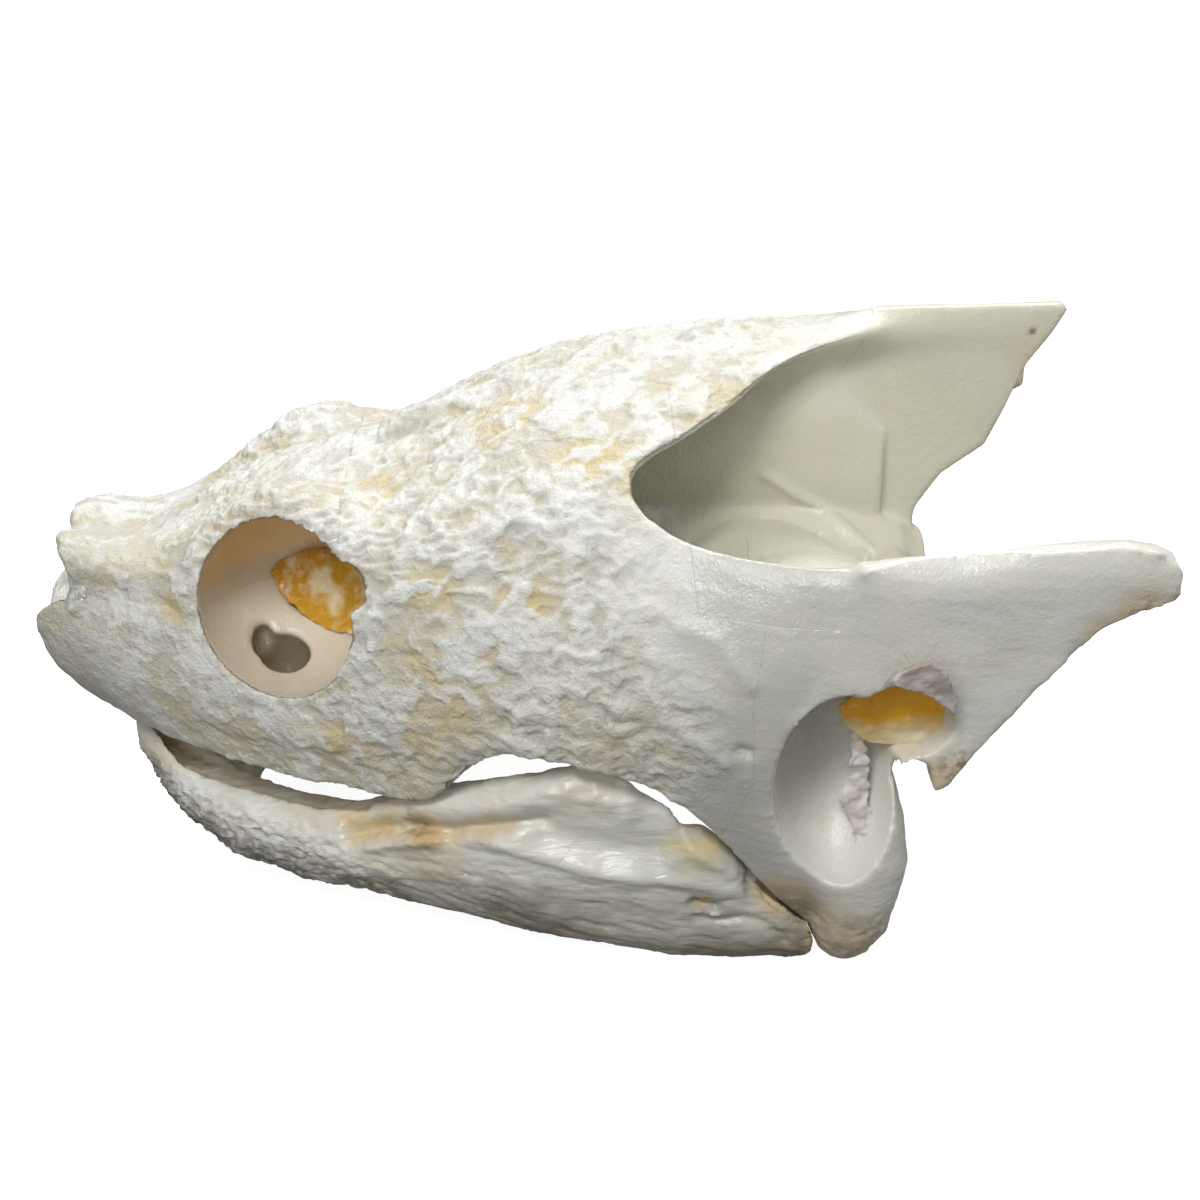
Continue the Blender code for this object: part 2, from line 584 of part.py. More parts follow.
def main():
    for old in list(bpy.data.objects):
        bpy.data.objects.remove(old)
    bones = bpy.data.collections.new("turtle_skull")
    bpy.context.scene.collection.children.link(bones)
    head = cranium()
    jaw = lower_jaw(head)
    part_bones(cut_sutures(head, SUTURES), named_points(MIDDLE_BONES, SIDE_BONES), bones)
    part_bones(cut_sutures(jaw, JAW_SUTURES), named_points(JAW_MIDDLE, JAW_SIDE), bones)
    stand_at_origin(bones)


main()
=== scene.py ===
"""Looks of a bleached snapping turtle skull with its lower jaw, lying on a pale floor.

The skull is modelled once as a whole, in millimetres, with the snout toward -X, the left side toward
-Y and the floor at zero. Its surface is pitted and ridged point by point, and it is then parted along
the sutures into bones that stand for the nodes of the frame.
"""

import itertools
import math
import operator

import bpy
import bmesh
import numpy as np
from mathutils import Matrix, Vector
from mathutils.bvhtree import BVHTree
from mathutils.kdtree import KDTree


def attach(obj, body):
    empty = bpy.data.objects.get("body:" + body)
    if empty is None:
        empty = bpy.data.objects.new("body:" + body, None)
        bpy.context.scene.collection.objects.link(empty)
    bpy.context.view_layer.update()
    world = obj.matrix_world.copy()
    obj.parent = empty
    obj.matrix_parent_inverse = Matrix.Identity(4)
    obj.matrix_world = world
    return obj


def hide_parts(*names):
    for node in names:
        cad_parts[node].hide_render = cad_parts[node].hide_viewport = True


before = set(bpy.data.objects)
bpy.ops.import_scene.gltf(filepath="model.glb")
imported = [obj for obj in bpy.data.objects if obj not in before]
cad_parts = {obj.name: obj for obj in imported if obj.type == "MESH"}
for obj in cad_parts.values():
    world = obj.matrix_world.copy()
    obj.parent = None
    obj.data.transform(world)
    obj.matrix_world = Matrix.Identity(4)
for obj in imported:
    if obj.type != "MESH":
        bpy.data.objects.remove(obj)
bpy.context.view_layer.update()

MM = 0.001

# The frame's origin, seen from the point that the forms below are measured from.
SHIFT = Vector((3.812, -0.049, 0))

# Grain of the surface and of the dried membranes, and the passes that even it out.
GRAIN = 0.32
MEMBRANE_GRAIN = 0.17
SOFT_PASSES = 8
MEMBRANE_PASSES = 3

# Thickness of the dermal bone.
SKIN = 2.6

# The skin thins out over this distance, to this share of its thickness, at the roof's open edge.
TAPER = 7
EDGE_SHARE = 0.42

# Width of a cut between two bones, the angle that counts as its edge, and the jaw's room to the head.
SEAM = 0.015
SEAM_ANGLE = math.radians(75)
JAW_ROOM = 0.5

# The outer skin runs over stations from the snout (0) back to the ear (13), in rows from the midline
# down to the lower margin. Each row holds x, half width and height at its key stations.
ROWS = [
    # midline of the roof
    {-1: (-58.2, 0, 34.2), 0: (-59.4, 0, 36.4), 2: (-48, 0, 37.4), 4: (-34, 0, 43.8), 5: (-25, 0, 47.2),
     7: (-10, 0, 55.0), 9: (4, 0, 59.8), 11: (18, 0, 60.0), 13: (32, 0, 61.8)},
    # crown beside the midline
    {-1: (-59.2, 4, 36.4), 0: (-61.2, 4.5, 40.6), 2: (-48, 5.5, 39.0), 4: (-34, 8, 45.0),
     5: (-25, 10, 46.6), 6: (-18, 11, 49.3), 7: (-10, 12, 53.8), 9: (4, 11.5, 57.0), 11: (18, 6, 59.4),
     13: (32, 2, 61.8)},
    # brow and edge of the roof
    {-1: (-56.8, 8, 34.8), 0: (-58.6, 9, 38.0), 2: (-48, 10.8, 37.2), 3: (-42, 12, 42.8),
     4: (-30.6, 14.5, 53.0), 5: (-24, 17.6, 43.6), 6: (-18, 20.6, 46.8), 7: (-10, 22.4, 49.0),
     9: (2.0, 22.0, 53.2), 10: (8.2, 18.0, 54.1), 11: (14.2, 12.6, 57.8), 12: (21, 6.6, 60.4),
     13: (30, 2.8, 62)},
    # top of the cheek
    {-1: (-57.2, 7.2, 33.0), 0: (-58.0, 7.9, 33.1), 2: (-48, 12.8, 35.5), 3: (-43, 14.6, 37),
     4: (-34, 17.8, 41), 5: (-25, 22.3, 42.5), 7: (-10, 26.4, 44), 9: (2.6, 25.4, 49.2),
     10: (8.6, 28.8, 46.2), 11: (18.7, 32.2, 45.9), 12: (25, 33.5, 45.7), 13: (32, 34.2, 46)},
    # middle of the cheek
    {-1: (-63.5, 0, 27.0), 0: (-63.2, 5.7, 29.2), 2: (-50.6, 12.8, 29.5), 3: (-43, 16.2, 30),
     4: (-34, 20.8, 32), 5: (-25, 25, 35.5), 7: (-10, 29.6, 37), 9: (4, 33, 38.5),
     11: (18, 36.6, 37.5), 12: (25, 37, 38.5), 13: (31, 36, 39)},
    # low cheek
    {-1: (-62.6, 0, 21.6), 0: (-62.0, 5.2, 23.2), 2: (-51, 12, 22.5), 3: (-44, 16, 23),
     4: (-34, 21.4, 24.5), 5: (-25, 25.6, 27), 6: (-18, 28, 28), 7: (-10, 31, 30),
     9: (4, 34, 29.5), 11: (16.5, 36.6, 24), 12: (21, 35, 13.5), 13: (28, 32.4, 9)},
    # cutting edge of the beak and lower margin of the cheek
    {-1: (-57.8, 0, 17.5), 0: (-58.2, 1.5, 17.5), 1: (-54.4, 5, 17.4), 2: (-50, 9.2, 16.9),
     3: (-43, 14, 16.3), 4: (-34, 19, 16.4), 5: (-25, 23.5, 16.8), 6: (-17.4, 26.4, 15.6),
     7: (-13, 28.8, 25), 8: (-4.6, 31, 24.0), 9: (3.5, 32, 22.6), 10: (10, 32, 18.0),
     11: (16.0, 31, 9.6), 12: (22, 29.5, 2.6), 13: (29, 29.5, 1)},
]
FIRST_STATION, LAST_STATION = -1, 13

# Supraoccipital crest: a blade on the midline, seen from the side.
CREST_OUTLINE = [(6, 57), (20, 59.6), (30, 62.4), (49.4, 62.8), (50.0, 62.2), (48.4, 59.4), (46, 55.8),
                 (43.8, 50.6), (42.2, 46.9), (37.6, 43.5), (34.9, 39.4), (34.6, 34), (30, 32), (6, 40)]
CREST_THICK = 1.8

# The squamosal horn behind the ear, seen from the side.
HORN_OUTLINE = [(24, 46.3), (34, 46.2), (42.2, 48.1), (49, 48.6), (53.0, 48.0), (55.2, 46.0),
                (55.0, 43.0), (51, 41.8), (47.6, 40.2), (42.4, 34.0), (38, 28.2), (34.4, 22.8),
                (32.9, 21.9), (32.2, 25.2), (30.4, 26.0), (27, 36)]
HORN_THICK = 3.4
SHORT_HORN = 53.2

# Bone behind the ear, seen from the side, with the hook that hangs from the squamosal.
EAR_REAR_OUTLINE = [(24, 39), (36, 39), (37.6, 32), (36, 26.6), (34.4, 22.8), (33.0, 22.0),
                    (32.4, 25.0), (31.0, 25.8), (28, 25.0), (25, 28)]
EAR_REAR_THICK = 7.6

# Sockets and cavities: centre and half sizes. Each is cut on both sides, but the nose and brain hole.
NOSE = ((-58.5, 0, 30.4), (13, 4.9, 4.4))
BRAIN_HOLE = ((38, 0, 29.6), (12, 4.6, 4.2))
HOLLOWS = {
    "orbit": ((-33.0, 15.5, 35.3), (9.5, 13.2, 9.3)),
    "orbit_corner": ((-27.0, 20.5, 39.2), (3.3, 5.5, 2.7)),
    "ear": ((23.2, 38.0, 22.6), (6.9, 11.6, 11.6)),
    "antrum": ((28.6, 35.8, 30.0), (6.0, 8.4, 4.4)),
    "eye_window": ((-30.4, 4.1, 32.4), (5.0, 3.0, 3.8)),
    "eye_drain": ((-34.6, 10.0, 25.6), (2.8, 3.2, 4.6)),
    "eye_drain_top": ((-36.9, 9.2, 28.0), (1.2, 2.6, 2.2)),
}

# Lower jaw: centre of the left branch from chin to hinge, with half thickness and half height.
JAW = [(-52.8, 1.5, 13.9, 2.4, 2.8), (-49.8, 3.6, 11.7, 3.8, 4.2), (-46.4, 6.4, 9.3, 4.5, 4.1),
       (-41, 10.6, 7.6, 4.4, 4.5), (-33, 15.2, 7.2, 4.0, 4.7), (-26.5, 18.6, 7.7, 3.6, 5.1),
       (-21.4, 21.0, 8.9, 3.3, 6.3), (-17, 23.2, 10.0, 3.0, 7.4), (-9, 26.0, 11.0, 2.8, 9.1),
       (-3, 27.4, 11.4, 2.6, 10.3), (2, 28.2, 10.6, 2.5, 10.1), (5.2, 28.4, 9.3, 2.5, 9.2),
       (6.8, 28.6, 8.4, 2.6, 8.6), (7.8, 28.6, 7.6, 2.6, 7.9), (10, 28.6, 7.6, 2.7, 7.9),
       (12, 28.6, 6.8, 2.8, 7.1), (14.5, 28.6, 5.4, 3.0, 5.7), (19, 28.6, 3.8, 3.0, 4.1),
       (21.6, 28.6, 3.2, 2.8, 3.0)]
TROUGH = [(-51, 2.8, 15.6, 2.0, 3.4), (-47, 6.4, 13.2, 2.9, 2.4), (-40, 10.4, 12.8, 3.3, 2.2),
          (-31, 15.6, 12.8, 2.9, 2.0), (-25, 19.0, 13.8, 1.8, 1.3)]
CHIN_SHELF = [(-50.2, 0, 12.9, 4.0, 2.6), (-46.8, 0, 9.8, 7.6, 3.7), (-42.6, 0, 8.3, 9, 3.4),
              (-40, 0, 8, 6, 2.6)]
JAW_KEEL = [(-27, 15.4, 4.4, 1.5, 2.0), (-22, 16.6, 3.2, 2.4, 3.3), (-17, 18.6, 3.0, 2.5, 3.2),
            (-9, 21.8, 3, 2.5, 3.2), (-3, 24.4, 3, 2.4, 3.2), (3, 26.6, 3, 2.2, 3.1),
            (6, 27.4, 3, 1.5, 2)]

# Sutures: the axis that the cut runs along, its reach on that axis, and its line across the others.
# A line off the midline, and one that reaches over a side, is cut on the other side too.
CENTRE = (-45, 45)
SIDE = (10, 46)
SUTURES = [
    ("y", (-24, 24), [(-72, 33), (-26, 33)]),
    ("y", CENTRE, [(-27, 72), (-27, 24), (-21, 10)]),
    ("z", (8, 33.2), [(-72, 6.5), (-18, 6.5)]),
    ("y", (-6.6, 6.6), [(-50, 8), (-50, 33.2)]),
    ("y", (-24, 24), [(-40, 32.9), (-40, 60)]),
    ("z", (32.9, 60), [(-72, 0), (-39.9, 0)]),
    ("z", (37, 72), [(-28, 11.5), (-15, 13), (-3, 16.5), (3, 19.5), (8, 26)]),
    ("y", (-18, 18), [(-28, 38), (0, 41), (48, 41)]),
    ("y", (-13, 13), [(34, 72), (26, 56), (14, 47), (11, 40)]),
    ("z", (6, 41), [(-30, 11.5), (-14, 13.5), (-4, 16), (6, 17.5), (48, 17.5)]),
    ("y", (-18, 18), [(-30, 24.5), (0, 21.5), (30, 20.5), (34, 17), (36, 8)]),
    ("y", SIDE, [(-28, 33), (-10, 37), (2, 39.5), (9, 41), (17, 40.5), (24, 40.5), (28.5, 38.5),
                 (31.6, 33), (31.4, 26), (31.6, 16)]),
    ("y", SIDE, [(9, 40.9), (8, 50), (6, 62)]),
    ("y", SIDE, [(1, 39.4), (0, 30), (3, 12)]),
    ("y", SIDE, [(15.5, 40.7), (14.3, 33), (14.6, 24), (11, 14)]),
]
JAW_SUTURES = [("y", CENTRE, [(8, 34), (2, 20), (-8, 8), (-14, -8)])]

# Bones with a point that lies on each; a bone named for both sides has its twin mirrored.
MIDDLE_BONES = {"premaxilla": (-60, 0, 22), "vomer": (-44, 0, 24), "frontal": (-33, 0, 44),
                "parietal": (-4, 0, 56), "supraoccipital": (42, 0, 56), "braincase": (20, 0, 30),
                "pterygoid": (10, 0, 18)}
SIDE_BONES = {"maxilla": (-44, 15, 24), "prefrontal": (-50, 9, 38), "postorbital": (-10, 22, 47),
              "jugal": (-12, 29, 31), "quadratojugal": (8, 33, 32), "squamosal": (44, 33.5, 42),
              "quadrate": (26, 29, 8)}
JAW_MIDDLE = {"dentary": (-46, 0, 8)}
JAW_SIDE = {"surangular": (14, 29, 6)}

# Places of the stains and marks: centre, reach and strength. Each is on both sides.
YELLOW_PLACES = [((-7.4, 27, 39.8), 5, 1), ((-17.4, 25, 40.7), 4, 0.8), ((-1.3, 19, 51.1), 6, 1),
                 ((-24, 13, 49.6), 6, 0.8), ((-39.7, 12, 41.4), 5, 0.4), ((-10.6, 9, 54), 7, 0.7),
                 ((-48.3, 9, 39), 4, 0.3), ((-26.5, 22, 22.8), 5, 0.8), ((-17.9, 26, 24.9), 5, 0.6),
                 ((3.6, 21, 50.7), 6, 0.6), ((9.9, 14, 59), 7, 0.4), ((9.4, 29, 14.6), 5, 1),
                 ((-24.5, 21, 12), 6, 0.9), ((22.4, 28, 2.8), 3.4, 1), ((-46.1, 14, 33.7), 2.2, 1),
                 ((47, 0, 57), 4, 0.6), ((-16, 27, 32), 9, 0.5), ((13.6, 36, 27.6), 1.1, 1)]
ORANGE_PLACES = [((29, 29, 30.5), 7.5, 1), ((-18.5, 25, 13), 2.4, 0.8), ((10.2, 31.3, 7.4), 1.4, 1),
                 ((-30.4, 3, 32.4), 5.4, 0.8)]
GREY_PLACES = [((-44, 9, 4.5), 7, 0.9), ((-36, 14, 3), 7, 0.7), ((-50, 6, 9), 5, 0.4)]
BROWN_PLACES = [((26.4, 30, 4), 7, 0.4), ((52.5, 33, 41.6), 3.4, 0.7), ((-20, 24, 12.8), 3, 0.7),
                ((35, 33, 25), 3.2, 0.8), ((54.4, 33, 43.4), 3.0, 0.5), ((28, 34.5, 35.6), 2.2, 0.8),
                ((46.9, 0, 55.6), 1.6, 0.8)]
DARK_PLACES = [((46.3, 0.9, 59.9), 0.6, 1), ((31.8, 33.6, 45.3), 1.1, 0.9),
               ((30.6, 34, 45.0), 0.8, 0.7), ((39.3, 34.6, 40.3), 0.35, 0.8),
               ((-20.6, 25.6, 44.3), 0.5, 0.8)]
TAN_PLACES = [((-47, 4, 12), 7, 0.9), ((-40, 9, 11), 6, 0.7), ((-30, 15, 11.6), 6, 0.6),
              ((-2, 29, 19.4), 4.6, 0.3), ((-18, 23, 11), 7, 0.7), ((19, 30, 8.4), 5, 1.1),
              ((22, 29, 5), 4, 0.8), ((51.5, 33, 41.4), 5, 1), ((48, 33, 39.6), 4, 0.8),
              ((24, 30, 4), 8, 1), ((33.6, 34, 23.6), 4, 0.8), ((-14, 29, 27), 4, 0.5),
              ((0, 32, 25), 5, 0.4)]
# Where shade is painted in the passage behind the eye window.
DRAIN_SHADE_PLACES = [((-35.4, 8.6, 25.6), 8, 1.6)]
SOCKET_PLACES = [((-33, 12, 35), 16, 1.6)]
CUP_PLACES = [((25, 31, 20), 12, 1.6)]

# Lower edge of the jaw: x, and the height there.
# The painted shade along the lower edge of the jaw follows it.
JAW_BOTTOM = ((-52, -46, -40, -27, 0, 14, 22), (9, 4, 2, 0, 0, 0, 4))

# Ridges and grooves on the sides: line in the side view, width, height and reach of half width.
JAW_SIDE_REACH = (14, 40)
GROOVE = [(-27, 10.6), (-23.3, 12.2), (-19.6, 13.2), (-16.1, 13.5), (-10.5, 15.3), (-6.6, 16.2)]
JAW_LINES = [(*drawn, JAW_SIDE_REACH) for drawn in (
    (GROOVE, 0.8, -0.9),
    ([(-25, 9.7), (-20.8, 11.3), (-17.6, 12.4)], 0.7, 0.5),
    ([(-24, 14.4), (-17, 16), (-11, 17.4), (-4, 20)], 1.3, 0.5),
    ([(-14.2, 13.6), (-9.6, 12.9), (-5.7, 12.1), (-0.2, 10.9), (8.9, 9.9), (13.9, 9.0)], 0.9, 0.45),
    ([(-6, 15), (0, 13.6), (5, 13.6)], 1.8, -0.7),
    ([(-1, 19.6), (2, 18.4)], 1.6, 0.6),
    ([(6, 18), (9, 13.6), (14, 10.4)], 0.8, 0.5),
    ([(9.2, 7.6), (11.4, 7.2)], 0.6, -1.0),
    ([(9.6, 5.9), (11.6, 5.5), (14.1, 6.0), (16.5, 5.3), (18.8, 3.2)], 0.45, -0.5),
    ([(15, 10), (21.4, 5.4)], 1.2, -0.5),
)]
HEAD_LINES = [
    ([(-57, 33.4), (-52, 34.1), (-48, 34.5)], 1.7, -0.7, (2, 16)),
    ([(-46.6, 33.9), (-45.6, 33.5)], 0.8, -0.8, (8, 18)),
    ([(18, 44.6), (21.6, 42), (25.4, 39.8), (29.6, 36.6), (33, 34.5)], 0.55, 0.55, (2, 24)),
    ([(17.6, 40.4), (20.2, 37), (22.4, 34.5)], 0.5, 0.4, (2, 24)),
    ([(25.2, 37.4), (24.5, 35), (24, 33)], 0.35, 0.4, (2, 24)),
    ([(23.7, 38.4), (24.2, 36.3)], 0.4, -0.6, (3, 22)),
    ([(4, 41), (11, 38.6), (14, 35)], 1.0, 0.35, (27, 42)),
    ([(-4, 33), (6, 30), (12, 26)], 0.8, 0.3, (27, 42)),
    ([(13.2, 27.7), (13.9, 27.5)], 0.6, -0.6, (27, 42)),
]

# Dried membranes, seen from the side: flap above the ear, shred and web in it, and the one in the eye.
FLAP = [(27.6, 37.2), (29.3, 38.0), (30.9, 38.3), (32.3, 37.2), (33.4, 35.2), (33.9, 33.6),
        (33.6, 31.8), (32.8, 33.0), (31.5, 34.2), (30.0, 35.0), (28.3, 35.5), (27.5, 36.0)]
SHRED = [(24.6, 28.2), (25.6, 27.7), (26.5, 25.2), (26.8, 22.5), (26.8, 19.1), (28.0, 15.9),
         (27.3, 14.2), (26.3, 12.7), (25.8, 14.4), (24.9, 17.7), (23.6, 19.6), (24.2, 21.8),
         (24.9, 24.9)]
WEB = [(23.4, 30.6), (25.2, 32.4), (29.2, 33.6), (32.6, 32.6), (34.8, 30.2), (35.0, 26.4), (34.6, 23.3),
       (32.7, 24.5), (29.3, 26.1), (26.3, 26.5), (24.0, 28.3)]
EYE_MEMBRANE = [(-36.4, 33.5), (-35.6, 34.4), (-33, 35.7), (-28.1, 37.2), (-26, 36.6), (-24.9, 34.4),
                (-25.6, 32.5), (-26.3, 29.4), (-29.8, 28.5), (-32.1, 29.0), (-35, 30.8)]

# Rough ground of the pitted bone: size of its mounds and their height.
MOUNDS = ((7.0, 0.5), (3.6, 0.6), (1.9, 0.62), (1.1, 0.52), (0.7, 0.34))

# Shares of ground, crests, net, small and large pits in the height of the pitted bone and in its stain.
RELIEF_SHARES = (0.48, 0.17, 0.15, -0.3, -0.45)
STAIN_SHARES = (-1.15, -0.35, -0.35, 0.35, 0.55)
STAIN_START = 0.56

# Marks that each point hands to the materials, three to a name.
MARKS = ("Relief", "Stains", "Tones", "Parts")

# Order in which the points and faces of a piece are made, so that each run gives the same mesh.
INDEX = operator.attrgetter("index")

# A loose piece with fewer points than this is a crumb of a cut, not a bone.
SMALLEST_PIECE = 60

# Colours of the bone and its stains, and of the shade that is painted on it.
WHITE = (0.90, 0.895, 0.86, 1)
WARM_WHITE = (0.87, 0.85, 0.77, 1)
CREAM = (0.66, 0.65, 0.58, 1)
DEEP_CREAM = (0.65, 0.63, 0.49, 1)
SOCKET = (0.74, 0.67, 0.56, 1)
COOL = (0.54, 0.54, 0.49, 1)
VEIL = (0.66, 0.62, 0.50, 1)
TAN = (0.66, 0.52, 0.30, 1)
# Warm tan painted as the shade under the roof of the eye socket.
SOCKET_ROOF_SHADE = (1.0, 0.74, 0.40, 1)
# Painted shade on the faces that look down and along the lower edge of the jaw.
SHADE_BELOW = (0.215, 0.19, 0.15, 1)
PIT = (0.68, 0.665, 0.59, 1)
PIT_BLOTCH = (0.68, 0.62, 0.46, 1)
HONEY = (0.74, 0.60, 0.29, 1)
ORANGE = (0.60, 0.38, 0.11, 1)
BROWN = (0.28, 0.19, 0.11, 1)
SOOT = (0.10, 0.10, 0.095, 1)
# Painted shade in the passage behind the eye window.
DRAIN_SHADE = (0.25, 0.215, 0.135, 1)

# Lamps: place, the point that they shine at, width in metres and power in watts.
LAMPS = {
    "near_top": ((-90, -300, 400), (0, 0, 30), 0.16, 1.27),
    "far_top": ((60, 220, 440), (0, 0, 30), 0.35, 2.0),
    "rear_top": ((260, -120, 400), (0, 0, 30), 0.2, 0.1),
    "rear_low": ((420, -50, 150), (20, 0, 40), 0.15, 0.3),
    "front_fill": ((-220, -420, 200), (0, 0, 30), 0.3, 0.36),
}

# Mixed whole numbers and slopes for the noise.
CHANCE = np.random.RandomState(11)
MIXER = CHANCE.permutation(256)
SLOPES = CHANCE.uniform(-1, 1, (256, 3)).astype(np.float32)


def row_point(keys, station):
    """Point of one row at a station, on a smooth curve through its keys."""
    if station in keys:
        return Vector(keys[station])
    marks = sorted(keys)
    upper = next(i for i, mark in enumerate(marks) if mark > station)
    near = [max(upper - 2, 0), upper - 1, upper, min(upper + 1, len(marks) - 1)]
    p0, p1, p2, p3 = (Vector(keys[marks[i]]) for i in near)
    t0, t1, t2, t3 = (marks[i] for i in near)
    span = t2 - t1
    t = (station - t1) / span
    lead_in = (p2 - p0) / (t2 - t0) * span
    lead_out = (p3 - p1) / (t3 - t1) * span
    return (p1 * (2 * t ** 3 - 3 * t ** 2 + 1) + lead_in * (t ** 3 - 2 * t ** 2 + t)
            + p2 * (3 * t ** 2 - 2 * t ** 3) + lead_out * (t ** 3 - t ** 2))


def link_object(name, data):
    """Object in the scene that holds a mesh, lamp or camera."""
    obj = bpy.data.objects.new(name, data)
    bpy.context.scene.collection.objects.link(obj)
    return obj


def object_of(name, bm):
    """Object from a bmesh, which is used up."""
    mesh = bpy.data.meshes.new(name)
    bm.to_mesh(mesh)
    bm.free()
    return link_object(name, mesh)


def add_object(name, bm):
    """Working object in metres from a bmesh in millimetres."""
    bmesh.ops.scale(bm, vec=(MM, MM, MM), verts=bm.verts)
    return object_of(name, bm)


def tree_of(points):
    """Tree that finds the nearest of the points."""
    tree = KDTree(len(points))
    for i, point in enumerate(points):
        tree.insert(point, i)
    tree.balance()
    return tree


def change(obj, kind, **settings):
    """Put a modifier on an object and apply it to its mesh."""
    modifier = obj.modifiers.new(kind, kind)
    for key, value in settings.items():
        setattr(modifier, key, value)
    graph = bpy.context.evaluated_depsgraph_get()
    mesh = bpy.data.meshes.new_from_object(obj.evaluated_get(graph))
    obj.modifiers.clear()
    obj.data = mesh
    return obj


def skin_sheet():
    """The dermal bone of roof, snout and cheek, open at the nose and behind the roof."""
    stations = LAST_STATION - FIRST_STATION
    last_row = len(ROWS) - 1
    bm = bmesh.new()
    bmesh.ops.create_grid(bm, x_segments=stations, y_segments=last_row, size=1)
    openings = []
    for face in bm.faces:
        middle = face.calc_center_median()
        station = (middle.x + 1) / 2 * stations + FIRST_STATION
        row = (middle.y + 1) / 2 * last_row
        nostril = station < 0 and 3 < row < 4
        temporal = station > 9 and 2 < row < 3
        if nostril or temporal:
            openings.append(face)
    bmesh.ops.delete(bm, geom=openings, context="FACES")
    for vert in bm.verts:
        station = round((vert.co.x + 1) / 2 * stations) + FIRST_STATION
        row = round((vert.co.y + 1) / 2 * last_row)
        vert.co = row_point(ROWS[row], station)
    sheet = add_object("skin", bm)
    change(sheet, "MIRROR", use_axis=(False, True, False), merge_threshold=0.05 * MM)
    return change(sheet, "SUBSURF", levels=4)


def open_edge(mesh):
    """Points on the open edge of the roof and cheek, above and behind the eyes."""
    bm = bmesh.new()
    bm.from_mesh(mesh)
    rim = [vert.co.copy() for vert in bm.verts
           if vert.is_boundary and vert.co.z > 43 * MM and vert.co.x > 0]
    bm.free()
    return tree_of(rim)


def skin_bone(sheet):
    """The skin with its thickness, laid inward, and thinner toward the open edge of the roof."""
    bone = link_object("skin_bone", sheet.data.copy())
    edge = open_edge(bone.data)
    body = bone.vertex_groups.new(name="body")
    for vert in bone.data.vertices:
        away = edge.find(vert.co)[2] / MM
        body.add([vert.index], min(away / TAPER, 1), "REPLACE")
    return change(bone, "SOLIDIFY", thickness=SKIN * MM, offset=-1, vertex_group="body",
                  thickness_vertex_group=EDGE_SHARE)


def loft(name, axis, sections, square=2.0):
    """Closed body through ovals; a section holds its centre x, y, z and its two half sizes."""
    sides = 32
    bm = bmesh.new()
    loops = []
    for x, y, z, first, second in sections:
        ring = []
        for i in range(sides):
            angle = 2 * math.pi * i / sides
            a = first * math.copysign(abs(math.cos(angle)) ** (2 / square), math.cos(angle))
            b = second * math.copysign(abs(math.sin(angle)) ** (2 / square), math.sin(angle))
            offset = {"x": (0, a, b), "y": (a, 0, b), "z": (a, b, 0)}[axis]
            ring.append(bm.verts.new((x + offset[0], y + offset[1], z + offset[2])))
        loops.append([bm.edges.new((ring[i - 1], ring[i])) for i in range(sides)])
    for near, far in zip(loops, loops[1:]):
        bmesh.ops.bridge_loops(bm, edges=near + far)
    bmesh.ops.contextual_create(bm, geom=loops[0])
    bmesh.ops.contextual_create(bm, geom=loops[-1])
    bmesh.ops.recalc_face_normals(bm, faces=bm.faces)
    return add_object(name, bm)


def pair(name, axis, sections, square=2.0):
    """The same loft on the right and, turned over, on the left."""
    return [loft(name, axis, [(x, side * w, z, a, b) for x, w, z, a, b in sections], square)
            for side in (1, -1)]


def ball(name, centre, radii):
    """Closed ellipsoid."""
    bm = bmesh.new()
    bmesh.ops.create_uvsphere(bm, u_segments=64, v_segments=40, radius=1)
    bmesh.ops.scale(bm, vec=radii, verts=bm.verts)
    bmesh.ops.translate(bm, vec=centre, verts=bm.verts)
    return add_object(name, bm)


def ball_pair(name, shape):
    """A ball on the right and one on the left."""
    (x, w, z), radii = shape
    return [ball(name, (x, side * w, z), radii) for side in (1, -1)]


def plate(name, outline, half_width, thick):
    """Plate from a side outline, standing at a half width that may lean with x and z."""
    bm = bmesh.new()
    ring = [bm.verts.new((x, half_width(x, z), z)) for x, z in outline]
    edges = [bm.edges.new((ring[i - 1], ring[i])) for i in range(len(ring))]
    bmesh.ops.triangle_fill(bm, edges=edges, use_beauty=True)
    return change(add_object(name, bm), "SOLIDIFY", thickness=thick * MM, offset=0)


def join(pieces, name):
    """One object that holds the meshes of all pieces."""
    bm = bmesh.new()
    for piece in pieces:
        bm.from_mesh(piece.data)
        bpy.data.objects.remove(piece)
    return object_of(name, bm)


def even_grain(obj, size=GRAIN):
    """Fuse what overlaps into one closed surface of even grain."""
    return change(obj, "REMESH", mode="VOXEL", voxel_size=size * MM)


def soften(obj, times):
    """Even out the steps of the grain."""
    return change(obj, "SMOOTH", factor=0.5, iterations=times)


def islands(bm):
    """Groups of vertices that hang together, the largest first."""
    left = set(bm.verts)
    groups = []
    while left:
        stack = [left.pop()]
        group = set(stack)
        while stack:
            for edge in stack.pop().link_edges:
                for vert in edge.verts:
                    if vert in left:
                        left.discard(vert)
                        group.add(vert)
                        stack.append(vert)
        groups.append(group)
    return sorted(groups, key=len, reverse=True)


def keep_largest(obj):
    """Drop every surface but the one with the most vertices."""
    bm = bmesh.new()
    bm.from_mesh(obj.data)
    spare = [vert for group in islands(bm)[1:] for vert in group]
    bmesh.ops.delete(bm, geom=spare, context="VERTS")
    bm.to_mesh(obj.data)
    bm.free()
    return obj


def carve(body, cutter):
    """Cut away with the manifold solver, which is quick on this many faces."""
    change(body, "BOOLEAN", operation="DIFFERENCE", solver="MANIFOLD", object=cutter)
    bpy.data.objects.remove(cutter)
    return body


def floor_block():
    """Block below the floor, which leaves flats where the skull stands."""
    bm = bmesh.new()
    bmesh.ops.create_cube(bm, size=200)
    bmesh.ops.translate(bm, vec=(0, 0, -100), verts=bm.verts)
    return add_object("floor_block", bm)


